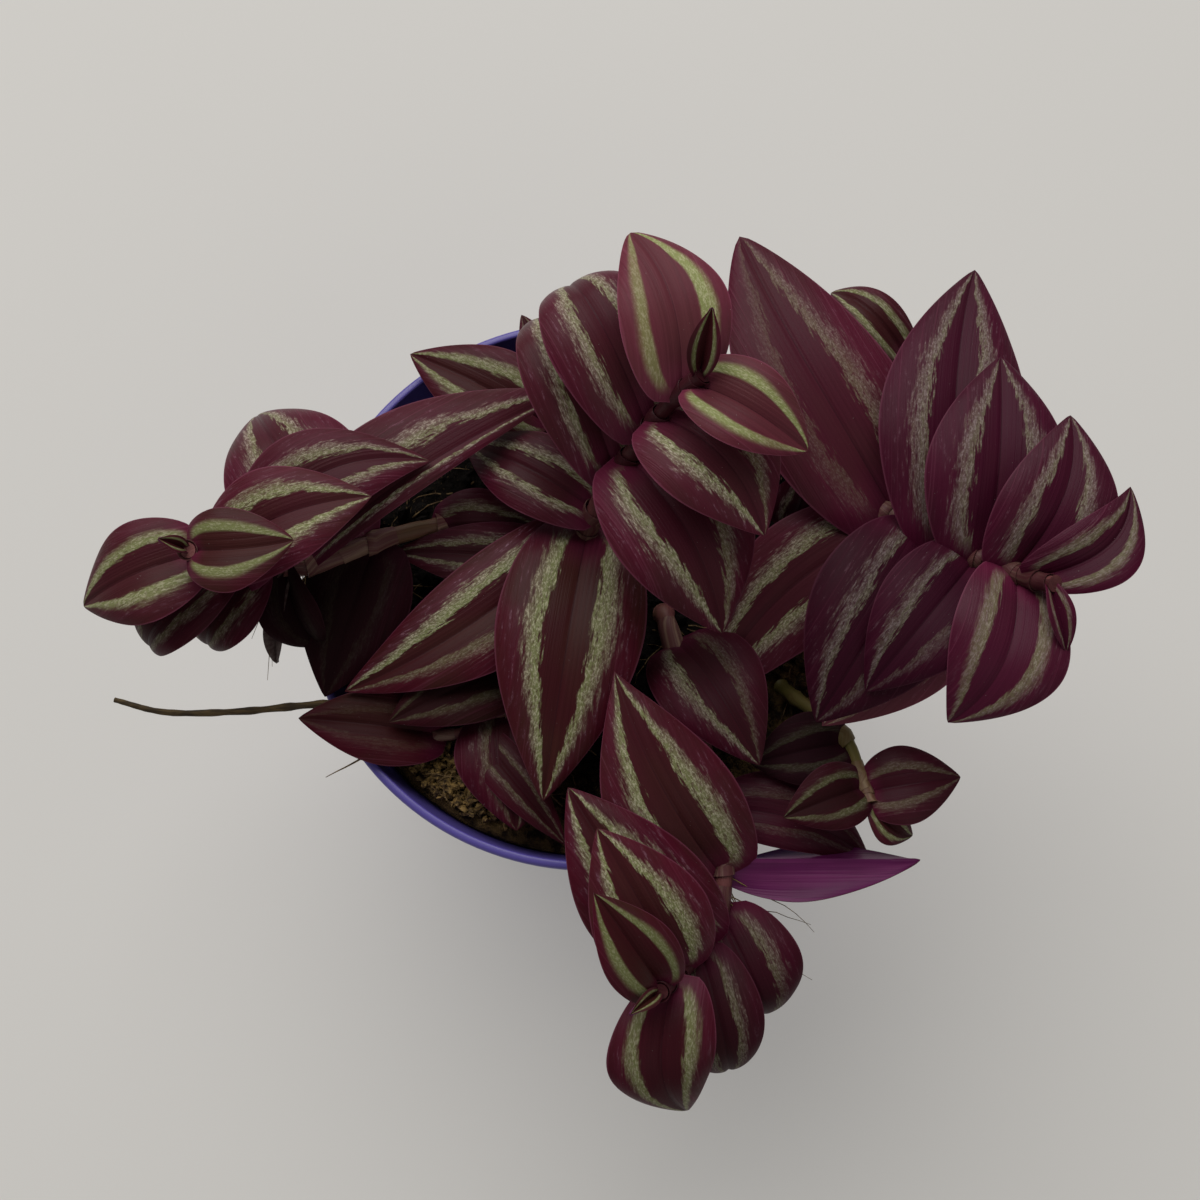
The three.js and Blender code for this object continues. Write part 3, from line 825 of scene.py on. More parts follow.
points, faces = [], []
lowest = (SOIL_TOP - 1) * MM
for i in range(FIBRE_COUNT):
    start = heap_place() if i % 3 == 0 else soil_place(FIBRE_START)
    start.z += draw.uniform(-0.2, 1.2) * MM
    turn = draw.uniform(0, 2 * math.pi)
    heading = Vector((math.cos(turn), math.sin(turn), draw.uniform(-0.05, 0.25)))
    line = wandering(start, heading, draw.uniform(3, 11), steps=5, restless=0.28, fall=0.25)
    line = [Vector((p.x, p.y, max(p.z, lowest))) for p in line if p.xy.length < FIBRE_REACH * MM]
    if len(line) > 2:
        thread(points, faces, line, draw.uniform(0.09, 0.22))
line = wandering(STRAW_START, STRAW_HEADING, STRAW_LENGTH, steps=7, restless=0.10)
thread(points, faces, line, STRAW_RADIUS)
fibres = mesh_piece("peat_fibres", points, faces, straw)
settle(fibres, "soil", smooth=180)
print("fibres:", len(fibres.data.polygons), "faces")

# %% [markdown]
# ## Where the shoots run
#
# Each shoot is a chain of nodes, the places where leaves are joined, from the soil to its growing tip.
# Its `radius` is the stem's, in millimetres, and `red` says how red its skin is. The smooth curve through
# the nodes is a centripetal Catmull-Rom spline, which passes through every node without loops.
# `curve_point` gives the place at a share of the shoot, counted evenly in nodes. The whole plant stands
# 2 mm forward of the places that are listed, and `in_place` sees to that.

# %% Lay out the shoots
SHOOTS_FORWARD = Vector((0, -2, 0))
FOOT = SOIL_TOP + 0.8
SHOOTS = {
    "left": SimpleNamespace(radius=1.7, red=0.55, nodes=[
        (-18, 12, FOOT), (-20, 12.5, 89), (-28, 12.5, 94), (-39, 9, 97), (-51, 4, 99),
        (-59, 3.5, 102), (-64, 3, 107), (-67, 2.5, 113), (-68, 1.5, 119),
    ]),
    "back_left": SimpleNamespace(radius=1.3, red=0.5, nodes=[
        (5, 27, FOOT), (4, 27.5, 90), (-2, 30, 95), (-8, 31.5, 97),
    ]),
    "top": SimpleNamespace(radius=1.8, red=1.0, nodes=[
        (-2, 2, FOOT), (-2, 5, 92), (-1, 9, 98.5), (1, 12, 105), (3, 14.5, 111),
        (5.5, 16.5, 117.5), (8.5, 19, 123), (11.5, 21.5, 129.5), (14.5, 23, 136), (18.5, 24.5, 142),
    ]),
    "right": SimpleNamespace(radius=1.8, red=0.7, nodes=[
        (34, 10, FOOT), (36, 11, 90), (44, 13, 98), (53, 12, 105), (61, 6, 110),
        (67, 1.5, 114), (72, -2, 118), (75, -4.5, 122), (77, -6, 126),
    ]),
    "back_right": SimpleNamespace(radius=1.2, red=1.0, nodes=[
        (30, 27, FOOT), (32, 28, 90), (43, 31, 96), (57, 36, 97), (63, 41, 97), (59.5, 44, 97),
    ]),
    "front": SimpleNamespace(radius=1.7, red=0.8, nodes=[
        (14, -2, FOOT), (14, -3, 89), (18, -18, 90), (22, -34, 92.5), (24, -48, 95.5),
        (23, -57, 95), (20, -63.5, 97), (15.5, -68.5, 102), (12, -71.5, 110),
    ]),
    "low_right": SimpleNamespace(radius=1.3, red=0.15, nodes=[
        (36, -16, FOOT), (38, -19, 90), (46, -27, 95.5), (48.5, -34, 96), (50, -39, 97),
    ]),
    "front_left": SimpleNamespace(radius=1.3, red=0.5, nodes=[
        (-10, -8, FOOT), (-10.5, -10, 88), (-14, -20, 90), (-22, -25, 90), (-28, -26, 89.5),
    ]),
}

def in_place(point):
    return (Vector(point) + SHOOTS_FORWARD) * MM

for shoot in SHOOTS.values():
    shoot.nodes = [in_place(node) for node in shoot.nodes]

def curve_point(nodes, share):
    last = len(nodes) - 1
    place = min(max(share, 0.0), 1.0) * last
    i = min(int(place), last - 1)
    w = place - i
    p1, p2 = nodes[i], nodes[i + 1]
    p0 = nodes[i - 1] if i > 0 else 2 * p1 - p2
    p3 = nodes[i + 2] if i + 2 <= last else 2 * p2 - p1
    d0, d1, d2 = [math.sqrt((b - a).length) for a, b in ((p0, p1), (p1, p2), (p2, p3))]
    leave = ((p1 - p0) / d0 - (p2 - p0) / (d0 + d1) + (p2 - p1) / d1) * d1
    arrive = ((p2 - p1) / d1 - (p3 - p1) / (d1 + d2) + (p3 - p2) / d2) * d1
    third = 2 * p1 - 2 * p2 + leave + arrive
    second = 3 * p2 - 3 * p1 - 2 * leave - arrive
    return p1 + leave * w + second * w ** 2 + third * w ** 3

def curve_heading(nodes, share):
    step = 0.002
    ahead = curve_point(nodes, min(share + step, 1.0))
    return (ahead - curve_point(nodes, max(share - step, 0.0))).normalized()

def curve_frames(nodes, count, start=0.0, end=1.0):
    """Places along the curve with two directions across it that don't twist."""
    frames = []
    side = Vector((1, 0, 0))
    for i in range(count + 1):
        share = start + (end - start) * i / count
        heading = curve_heading(nodes, share)
        side = (side - heading * side.dot(heading)).normalized()
        frames.append((share, curve_point(nodes, share), side, heading.cross(side)))
    return frames

print("shoots:", {name: len(shoot.nodes) for name, shoot in SHOOTS.items()})

# %% [markdown]
# ## Stems
#
# A stem starts as a straight rod: a cylinder primitive whose long edges are cut into rings. The rings are
# then laid along the shoot's curve. A Curve modifier would do that too, but it twists where a shoot turns
# from climbing to creeping, so the rings are placed in code. Each node swells where its leaf is joined,
# and the stem is a little waisted just above it.

# %% Grow the stems
STEM_SIDES = 18
ROWS_PER_NODE = 9
STEM_TAPER = 0.35
NODE_SWELL = 0.22
SWELL_LENGTH = 0.09
WAIST = 0.25
WAIST_AT = 0.2
WAIST_LENGTH = 0.1
RED_AT_FOOT = 0.35

def taper_at(share):
    return 1 - STEM_TAPER * share ** 2

def redness_at(red, share):
    return red * (RED_AT_FOOT + (1 - RED_AT_FOOT) * share)

def girth_at(shoot, share):
    """The stem's radius in millimetres, with a swelling at each node and a waist above it."""
    place = share * (len(shoot.nodes) - 1)
    off = place - round(place)
    swelling = math.exp(-((off / SWELL_LENGTH) ** 2))
    waist = WAIST * math.exp(-(((off - WAIST_AT) / WAIST_LENGTH) ** 2))
    return shoot.radius * taper_at(share) * (1 + NODE_SWELL * (swelling - waist))

def straight_rod(name, rows, sides):
    """A rod of radius 1 that stands from 0 to 1, its long edges cut into rows."""
    bpy.ops.object.select_all(action="DESELECT")
    bpy.ops.mesh.primitive_cylinder_add(vertices=sides, radius=1, depth=1, location=(0, 0, 0.5))
    rod = bpy.context.object
    rod.name = rod.data.name = name
    alone(rod)
    bpy.ops.object.transform_apply(location=True)
    bpy.ops.object.mode_set(mode="EDIT")
    bpy.ops.mesh.select_mode(type="EDGE")
    bpy.ops.mesh.select_all(action="DESELECT")
    bpy.ops.object.mode_set(mode="OBJECT")
    corners = rod.data.vertices
    for edge in rod.data.edges:
        low, high = [corners[v].co.z for v in edge.vertices]
        edge.select = abs(high - low) > 0.5
    bpy.ops.object.mode_set(mode="EDIT")
    bpy.ops.mesh.subdivide(number_cuts=rows - 1)
    bpy.ops.object.mode_set(mode="OBJECT")
    return rod

def lay_rod(rod, nodes, girth, rows, red):
    """Lays the rod along the nodes and writes its grain."""
    frames = curve_frames(nodes, rows)
    length = sum((b[1] - a[1]).length for a, b in zip(frames, frames[1:])) / MM
    grains = []
    for vertex in rod.data.vertices:
        share, middle, side, other = frames[round(vertex.co.z * rows)]
        radius = girth(share)
        turn = math.atan2(vertex.co.y, vertex.co.x)
        reach = vertex.co.xy.length
        vertex.co = middle + (side * math.cos(turn) + other * math.sin(turn)) * radius * reach * MM
        grains.append((turn * radius, share * length, redness_at(red, share)))
    vector_attribute(rod.data, "stem_grain", grains)

for name, shoot in SHOOTS.items():
    rows = ROWS_PER_NODE * (len(shoot.nodes) - 1)
    stem = straight_rod(f"shoot_{name}", rows, STEM_SIDES)
    lay_rod(stem, shoot.nodes, lambda share: girth_at(shoot, share), rows, shoot.red)
    stem.data.materials.clear()
    stem.data.materials.append(stem_skin)
    settle(stem, "stem", f"stem_{name}", smooth=70)

# %% [markdown]
# ## The dry flower stalk
#
# A dead stalk leans out over the rim to the left. It is made in the same way as a stem, much thinner,
# with a few joints that stand out like knuckles.

# %% Lay the dry stalk
STALK_RADIUS = 0.7
STALK_SIDES = 10
STALK_ROWS = 60
KNUCKLE = 0.18
KNUCKLE_TURNS = 31
RIPPLE = 0.08
RIPPLE_TURNS = 57
STALK_NODES = [in_place(node) for node in (
    (-37, -19, FOOT), (-41, -20, 91.8), (-51, -21, 94.2), (-64, -22, 93), (-78, -21.8, 91.5),
    (-87, -19.5, 91),
)]

def stalk_girth(share):
    knuckle = KNUCKLE * math.sin(share * KNUCKLE_TURNS) ** 8
    ripple = RIPPLE * math.sin(share * RIPPLE_TURNS)
    return STALK_RADIUS * taper_at(share) * (1 + knuckle + ripple)

stalk = straight_rod("flower_stalk", STALK_ROWS, STALK_SIDES)
lay_rod(stalk, STALK_NODES, stalk_girth, STALK_ROWS, 0.0)
stalk.data.materials.clear()
stalk.data.materials.append(dry_stalk_skin)
settle(stalk, "dry", "dry_stalk", smooth=70)
print("stalk:", len(stalk.data.polygons), "faces")

# %% [markdown]
# ## How a leaf is described
#
# A leaf starts at its stem and reaches for its tip, so those two places decide most of its shape. On the
# way its midrib rises by the `arch` and may `bend` to one side, and its two halves stand up from the
# midrib by the `fold`. Few leaves need the rest: `roll` turns the blade about its length, `right` narrows
# its right half, `curl` bends its outer part down, `point` makes the tip blunter or sharper, `light` says
# how much sun it gets, as painted light that lightens its finish, and `uneven` makes the stripe on the
# right half stronger and the other one weaker, partly as painted shade on the weaker half.

# %% Describe a leaf
TIP_OUTLINE = 0.85

def leaf(
    at, tip, width, arch, fold, look, roll=0, bend=0, right=1, curl=0, point=TIP_OUTLINE, light=0, uneven=0
):
    """One leaf: its node on the shoot, the tip's place, and its width, arch, fold and look."""
    return SimpleNamespace(
        at=at, tip=tip, width=width, arch=arch, fold=fold, look=look,
        roll=roll, bend=bend, right=right, curl=math.radians(curl), point=point,
        light=light, uneven=uneven,
    )

print("a leaf is described by:", ", ".join(vars(leaf(1, (0, 0, 0), 20, 0.1, 15, "mature"))))

# %% [markdown]
# The blade hangs on frames, one for each row of its mesh from the base to the tip. A frame holds a place
# on the midrib, the directions across and along, half of the width there and the angle of the fold. The
# arch rises faster near the base. The blade is widest a third of the way up, broad and blunt at the base
# and drawn out at the tip, and the fold is steepest where the base wraps the stem. There a neck keeps the
# blade a little wider than the stem.

# %% Hang the frames of a leaf
ROOT_DEPTH = 0.8
ARCH_AT_BASE = 1.3
ARCH_AT_TIP = 0.7
ARCH_REACH = 5
CURL_PART = 0.45
WIDEST = 0.61
BASE_OUTLINE = 0.55
NECK = 1.25
NECK_LENGTH = 0.10
FOLD_SHARE = 0.7
LEAF_TROUGH = 1.0
MOST_FOLD = 62

def lerp(a, b, share):
    return a + (b - a) * share

def leaf_rows(shoot, one, rows):
    """The frames that the blade hangs on, one for each row from the base to the tip."""
    share = one.at / (len(shoot.nodes) - 1)
    on_stem = curve_point(shoot.nodes, share)
    heading = curve_heading(shoot.nodes, share)
    tip = in_place(one.tip)
    outward = tip - on_stem
    outward = (outward - heading * outward.dot(heading)).normalized()
    girth = shoot.radius * taper_at(share) * MM
    root = on_stem + outward * girth * ROOT_DEPTH
    forward = (tip - root).normalized()
    lost = CURL_PART * (1 - math.sin(one.curl) / one.curl) if one.curl else 0
    chord = (tip - root) / (1 - lost)
    length = chord.length
    side = Quaternion(forward, math.radians(-one.roll)) @ forward.cross(UP).normalized()
    lift = side.cross(forward)

    def midrib(t):
        swing = length * 4 * t * (1 - t)
        reach = t + ARCH_REACH * one.arch ** 2 * t * (1 - t)
        rise = one.arch * swing * lerp(ARCH_AT_BASE, ARCH_AT_TIP, t)
        place = root + chord * reach + lift * rise + side * one.bend * swing
        turned_down = one.curl * max(0.0, (t - 1 + CURL_PART) / CURL_PART)
        if turned_down:
            arm = length * CURL_PART / one.curl
            place -= forward * arm * (turned_down - math.sin(turned_down))
            place -= lift * arm * (1 - math.cos(turned_down))
        return place

    frames = []
    for row in range(rows + 1):
        t = row / rows
        heading = (midrib(min(t + 0.01, 1)) - midrib(max(t - 0.01, 0))).normalized()
        outline = math.sin(math.pi * t ** WIDEST) ** lerp(BASE_OUTLINE, one.point, t) if t < 1 else 0
        half = one.width * MM / 2 * outline
        neck = NECK * girth * max(0.0, 1 - t / NECK_LENGTH)
        half = math.hypot(half, neck)
        turn = math.radians(min(one.fold * FOLD_SHARE * (1 + LEAF_TROUGH * (1 - t) ** 4), MOST_FOLD))
        frames.append((t, midrib(t), side, heading, half, turn))
    return frames, length

print("a leaf is widest at", round(0.5 ** (1 / WIDEST), 2), "of its length")

# %% [markdown]
# ## Looks of the leaves
#
# Leaves of one plant differ with age and light. A few named looks cover them: how mauve the stripes are,
# how strong, how young, and as a fourth number how much painted shade darkens the leaf. A young leaf is
# smooth and clean, a mature one is streaky, and the stripes of a leaf in the shade of others are mostly
# taken out, partly as painted shade. A fourth number below zero is painted light: the leaf is mixed
# paler and redder, as in full light.

# %% Name the looks
LOOK_SPREAD = 0.06
# The fourth number of each look is painted shade; below zero it is painted light.
LOOKS = {
    "strong": (0.10, 1.00, 0.25, 0.0),
    "mature": (0.35, 0.76, 0.08, 0.0),
    "young": (0.05, 0.95, 1.00, 0.0),
    "tender": (0.20, 0.95, 0.60, 0.0),
    "dark": (0.35, 0.55, 0.10, 0.4),
    "shade": (0.25, 0.45, 0.20, 0.25),
    "mauve": (0.90, 0.66, 0.10, 0.05),
    "magenta": (0.95, 0.60, 0.50, 0.0),
    "faint": (0.55, 0.26, 0.00, 0.0),
    "red": (0.60, 0.38, 0.50, 0.05),
    "plum": (1.00, 0.50, 0.10, 0.45),
    "garnet": (0.45, 0.55, 0.10, 0.40),
    "ink": (0.60, 0.40, 0.50, 0.80),
    "claret": (0.70, 0.12, 0.20, 0.15),
    "moss": (0.00, 0.70, 0.60, 0.60),
    "blush": (0.40, 0.50, 0.30, -1.2),
    "wine": (0.30, 0.08, 0.00, 0.9),
    "umber": (0.00, 0.35, 0.30, 0.60),
    "dusk": (0.30, 0.30, 0.00, 0.30),
    "rust": (0.00, 0.10, 0.20, 0.25),
    "dead": (0.50, 0.30, 0.10, 0.0),
}

def varied(look, chance):
    return [value + chance.uniform(-LOOK_SPREAD, LOOK_SPREAD) for value in LOOKS[look]]

print("looks:", ", ".join(LOOKS))

# %% [markdown]
# ## One leaf blank
#
# All leaves are cut from one blank: a flat grid with its columns drawn together near the midrib, where
# the crease needs them. Its own UV map already runs 0 to 1 across and along, as the leaf finish needs.

# %% Cut the blank
BLADE_COLUMNS = 40
BLADE_ROWS = 44
COLUMN_DRAW = 0.4

bpy.ops.object.select_all(action="DESELECT")
bpy.ops.mesh.primitive_grid_add(x_subdivisions=BLADE_COLUMNS, y_subdivisions=BLADE_ROWS, size=2)
blank = bpy.context.object
blank.data.uv_layers[0].name = "Blade"
for vertex in blank.data.vertices:
    vertex.co.x *= 1 - COLUMN_DRAW + COLUMN_DRAW * abs(vertex.co.x)
row_height = min(v.co.y + 1 for v in blank.data.vertices if v.co.y > -0.999)
blank_rows = round(2 / row_height)
print("blank:", len(blank.data.polygons), "faces in", blank_rows, "rows")

# %% [markdown]
# A copy of the blank is laid on the frames of its leaf, row by row. It gets a cupped blade, a margin that
# waves a little, a low groove along the midrib, and lobes at its base that reach back past the stem. The
# vertex group `body` is full at the midrib and empty at the margin, and `leaf_grain` is filled in on the
# way.

# %% Lay the blade on its frames
CREASE_DEPTH = 0.18
CREASE_WIDTH = 0.45
WAVE_HEIGHT = 0.35
FULL_WAVE = 9
LEAF_CUP = 0.25
LOBE = 0.10
LOBE_REACH = 0.3

def lay_blade(blade, shoot, one, chance):
    """Moves the blank's points onto the leaf's frames, and gives back its grain."""
    rows, length = leaf_rows(shoot, one, blank_rows)
    waves = [
        (chance.uniform(2.0, 3.6), chance.uniform(0, 6.28), chance.uniform(0.5, 1.0)) for _ in range(2)
    ]
    seed = chance.uniform(0, 90)
    grain, body = [], blade.vertex_groups.new(name="body")
    for vertex in blade.data.vertices:
        across = vertex.co.x
        t, middle, side, heading, half, turn = rows[round((vertex.co.y + 1) / 2 * blank_rows)]
        if across > 0:
            half *= one.right
        spread = abs(across)
        rise = half * (math.sin(turn) * spread - LEAF_CUP * spread ** 3)
        rise -= CREASE_DEPTH * MM * math.exp(-((across * half / MM / CREASE_WIDTH) ** 2))
        count, phase, strength = waves[across > 0]
        wave = math.sin(count * math.pi * t + phase) * strength * math.sin(math.pi * t)
        rise += WAVE_HEIGHT * MM * wave * spread ** 3 * min(half / MM / FULL_WAVE, 1)
        lobe = heading * length * LOBE * spread ** 2 * max(0.0, 1 - t / LOBE_REACH) ** 2
        vertex.co = middle + side * half * across * math.cos(turn) + side.cross(heading) * rise - lobe
        grain.append((across * half / MM, t * length / MM, seed))
        body.add([vertex.index], 1 - spread ** 4, "REPLACE")
    vector_attribute(blade.data, "leaf_grain", grain)
    return grain

print("crease", CREASE_DEPTH, "mm deep, margin waves up to", WAVE_HEIGHT, "mm high")

# %% [markdown]
# `leaf_kind` holds the look of the leaf, varied a little by the seeded draw, so that no two leaves with
# the same look are alike. Where the leaf is `uneven`, the strength differs between its two halves, partly
# as painted shade on the weaker half.

# %% Note what kind of leaf it is
def note_kind(blade, grain, one, chance):
    # The fourth number is the leaf's painted shade, less its painted light. On an uneven leaf the weaker
    # stripe is partly painted shade.
    mauve, strength, youth, depth = varied(one.look, chance)
    kinds = []
    for across, _, _ in grain:
        share = 1 + math.copysign(one.uneven, across)
        kinds += [mauve, strength * share, youth, depth - one.light]
    kind = blade.data.attributes.new("leaf_kind", "FLOAT_COLOR", "POINT")
    kind.data.foreach_set("color", kinds)

print("looks vary by up to", LOOK_SPREAD)

# %% [markdown]
# The tip is closed by merging the points that meet there, and a Solidify modifier thickens the blade
# downwards. The group `body` thins it at the margin, and the modifier puts the second material on the
# underside.

# %% Finish a leaf
BLADE_THICK = 0.42
MARGIN_THICK = 0.35
TOUCHING = 0.001

def grow_leaf(name, shoot, one, chance):
    """One finished leaf: a copy of the blank, laid, coloured and thickened."""
    blade = blank.copy()
    blade.data = blank.data.copy()
    blade.name = blade.data.name = name
    bpy.context.scene.collection.objects.link(blade)
    grain = lay_blade(blade, shoot, one, chance)
    note_kind(blade, grain, one, chance)
    alone(blade)
    bpy.ops.object.mode_set(mode="EDIT")
    bpy.ops.mesh.select_all(action="SELECT")
    bpy.ops.mesh.remove_doubles(threshold=TOUCHING * MM)
    bpy.ops.object.mode_set(mode="OBJECT")
    finishes = (dead_leaf, dead_leaf) if one.look == "dead" else (leaf_top, leaf_under)
    for finish in finishes:
        blade.data.materials.append(finish)
    skin = blade.modifiers.new("skin", "SOLIDIFY")
    skin.thickness = BLADE_THICK * MM
    skin.offset = -1
    skin.vertex_group = "body"
    skin.thickness_vertex_group = MARGIN_THICK
    skin.material_offset = 1
    apply_modifier(blade, skin)
    return blade

margin = round(BLADE_THICK * MARGIN_THICK, 2)
print("a blade is", BLADE_THICK, "mm thick at its midrib and", margin, "mm at its margin")

# %% [markdown]
# ## The leaves of each shoot
#
# Every leaf is listed one by one, from low on its shoot to the growing tip: the node it grows from,
# counted along the shoot, the place of its tip in millimetres, then its width, arch and fold, and its
# look.

# %% List the leaves
LEAVES = {
    "left": [
        leaf(4.0, (-4, 36, 103), 27, 0.15, 8, "mature", right=0.25, light=0.2),
        leaf(3.5, (-64.5, 37, 93), 27, 0.17, 12, "mature", curl=35, light=0.2),
        leaf(5.2, (-70, -11, 97), 15, 0.20, 15, "shade", curl=75),
        leaf(5.5, (-28, 20, 111), 20, 0.14, 15, "mature", bend=-0.15, light=0.2),
        leaf(6.0, (-80, -12, 100), 15, 0.20, 15, "shade", curl=75),
        leaf(6.4, (-37.5, 12, 116), 20, 0.12, 18, "strong", bend=-0.05, light=0.25),
        leaf(7.2, (-89, -5.5, 107), 19, 0.16, 15, "tender", light=0.2),
        leaf(7.9, (-49.5, 2.5, 122), 15.5, 0.10, 18, "young", bend=0.06, point=0.75, light=0.1),
        leaf(4.4, (-58, -12.5, 89), 6.5, 0.20, 70, "dead"),
    ],
    "back_left": [
        leaf(3.0, (-34, 46, 96), 18, 0.10, 20, "tender"),
    ],
    "top": [
        leaf(1.9, (-44, -19, 97), 21, 0.08, 15, "strong", bend=-0.06, uneven=0.7),
        leaf(2.3, (-8, -39, 100), 27, 0.12, 12, "strong", uneven=0.15),
        leaf(3.1, (-23, 27.5, 98), 16, 0.15, 15, "mature"),
        leaf(4.8, (-9, 46.5, 116), 19, 0.27, 15, "mature", curl=60, light=0.2),
        leaf(5.5, (23, -12, 114), 25, 0.20, 12, "mature", bend=-0.05, light=0.15, uneven=0.3),
        leaf(6.6, (-4, 47.5, 126), 21, 0.27, 15, "mature", curl=70, light=0.3),
        leaf(7.2, (29, 1, 130), 22, 0.17, 15, "mature", bend=-0.08, light=0.35, uneven=0.4),
        leaf(8.3, (7, 50, 140), 19, 0.16, 14, "young", bend=0.08, point=0.7, light=0.8, uneven=0.3),
        leaf(8.7, (35, 12, 141), 16, 0.15, 25, "young", point=0.7, light=0.6),
        leaf(9.0, (19.5, 32.5, 150), 7, 0.10, 50, "young"),
    ],
    "right": [
        leaf(3.3, (20.5, -22, 91.5), 22.5, 0.05, 6, "mature", bend=0.1, light=0.3),
        leaf(3.1, (27.5, 63, 111), 29, 0.10, 12, "faint", bend=-0.04, point=0.75, light=0.3, uneven=0.4),
        leaf(4.3, (41.5, -25.5, 98.5), 22, 0.02, 12, "blush", bend=-0.1),
        leaf(3.9, (39.5, -26, 106), 27, 0.22, 15, "plum", uneven=0.35),
        leaf(4.3, (70, 56, 112), 27, 0.12, 15, "mauve", bend=-0.05),
        leaf(5.0, (47, -22, 114), 20, 0.22, 15, "plum", uneven=0.4),
        leaf(5.2, (72, 36.5, 119), 25.5, 0.15, 15, "mauve"),
        leaf(6.1, (82, 24, 124), 20.5, 0.15, 18, "mauve", bend=0.1),
        leaf(6.3, (60.5, -27.5, 115), 21, 0.22, 15, "magenta", bend=-0.12, light=0.1),
        leaf(7.0, (91, 11, 125), 14, 0.15, 30, "magenta", bend=0.2),
        leaf(7.7, (79, -17, 123), 6, 0.15, 50, "magenta"),
    ],
    "back_right": [
        leaf(5.0, (46, 58.5, 96), 10.5, 0.28, 15, "tender"),
    ],
    "front": [
        leaf(1.5, (30, -33, 102), 20, 0.26, 12, "garnet", light=0.1, uneven=0.5),
        leaf(4.3, (4.5, -17.5, 109), 24, 0.12, 15, "strong", bend=-0.06, point=1.0, light=0.1),
        leaf(4.1, (59, -49, 93), 17, 0.0, 51, "faint", roll=216),
        leaf(6.2, (-3.5, -37.5, 108), 23, 0.12, 15, "strong", bend=-0.05, light=0.05),
        leaf(5.2, (31.5, -76.5, 88), 20, 0.27, 12, "garnet", curl=60, right=0.68),
        leaf(7.0, (1.5, -45, 114), 21, 0.12, 15, "strong", light=0.15),
        leaf(6.2, (25, -86.5, 90), 16, 0.22, 12, "garnet", curl=60),
        leaf(7.5, (17, -92, 96), 19, 0.20, 15, "tender", bend=0.15, curl=12),
        leaf(7.9, (1, -56, 120), 14, 0.10, 25, "young"),
        leaf(3.4, (51, -48.5, 88), 17, 0.10, 12, "claret", bend=-0.08, right=0.7),
    ],
    "low_right": [
        leaf(2.1, (29, -32, 96), 14, 0.12, 20, "ink"),
        leaf(3.4, (34, -42, 101), 12.5, 0.12, 20, "moss"),
        leaf(3.6, (66, -34.5, 98), 14.5, 0.12, 15, "red"),
        leaf(4.0, (58, -44.5, 93), 8, 0.15, 30, "tender", bend=0.15),
    ],
    "front_left": [
        leaf(1.3, (-36, -24.5, 96.5), 16, 0.14, 15, "umber"),
        leaf(2.2, (-13, -43.5, 92), 21, 0.12, 12, "dusk"),
        leaf(4.0, (-52.5, -23.5, 95), 15, 0.10, 20, "rust"),
    ],
}

print("leaves:", sum(len(leaves) for leaves in LEAVES.values()))

# %% [markdown]
# A few inner leaves fill the shade between the others and close the growing tips. They stand for no leaf
# of the packed model, so they replace nothing.

# %% List the inner leaves
INNER_LEAVES = {
    "left": [
        leaf(2.0, (-8.5, 12.5, 93), 15, 0.10, 12, "shade"),
        leaf(3.1, (-48, -19.5, 94), 21, 0.06, 14, "wine"),
        leaf(4.4, (-49, -10, 94), 15, 0.25, 45, "wine", roll=-25),
        leaf(8.0, (-72, 2.5, 123), 4, 0.10, 55, "young"),
    ],
    "back_left": [
        leaf(2.2, (-13, 54, 96), 10, 0.15, 15, "shade"),
    ],
    "top": [
        leaf(1.0, (-36.5, 7.5, 95), 14, 0.12, 15, "dark"),
    ],
    "right": [
        leaf(1.4, (40.5, 21, 104), 12, 0.12, 15, "mature"),
    ],
    "front": [
        leaf(8.0, (7, -75, 115), 4, 0.10, 55, "young"),
    ],
    "front_left": [
        leaf(2.9, (-4, -46, 91), 9, 0.15, 15, "dusk"),
    ],
}

print("inner leaves:", sum(len(leaves) for leaves in INNER_LEAVES.values()))

# %% [markdown]
# Now the leaves are made. Each one of the first list replaces the packed leaf with its name and number.
# The blank isn't needed afterwards.

# %% Make the leaves
slot_of = {part["node"]: part["material_slot"] for part in frame["record"]["subparts"]}
chance = random.Random(5)
for name, leaves in INNER_LEAVES.items():
    for number, one in enumerate(leaves, 1):
        blade = grow_leaf(f"inner_blade_{name}_{number}", SHOOTS[name], one, chance)
        settle(blade, "leaf", smooth=50)
for name, leaves in LEAVES.items():
    for number, one in enumerate(leaves, 1):
        blade = grow_leaf(f"blade_{name}_{number}", SHOOTS[name], one, chance)
        node = f"leaf_{name}_{number}"
        settle(blade, slot_of[node], node, smooth=50)
bpy.data.objects.remove(blank)

# %% [markdown]
# ## Sheaths
#
# Every leaf base is a sheath that wraps the stem, a few millimetres of thin pink skin below the blade
# with its top edge slanting up towards the leaf. A sheath is a short sleeve in rings, up the outside and
# down the inside, so it is closed. For each ring the list gives its place along the sheath and how far it
# stands out, as a share of the stem's radius. All the sheaths of one shoot are one mesh.

# %% Wrap the sheaths
SHEATH_SIDES = 18
SHEATH_LONG = 5.5
SHEATH_LEAN = 0.12
SHEATH_SLANT = 0.7
SHEATH_GAP = 0.06
SHOOT_LONG = 80
SHEATH_RINGS = [
    (-1.0, 0.04), (-0.8, 0.13), (-0.5, 0.17), (-0.2, 0.20), (0.05, 0.30), (0.06, 0.22), (-0.2, 0.06),
]

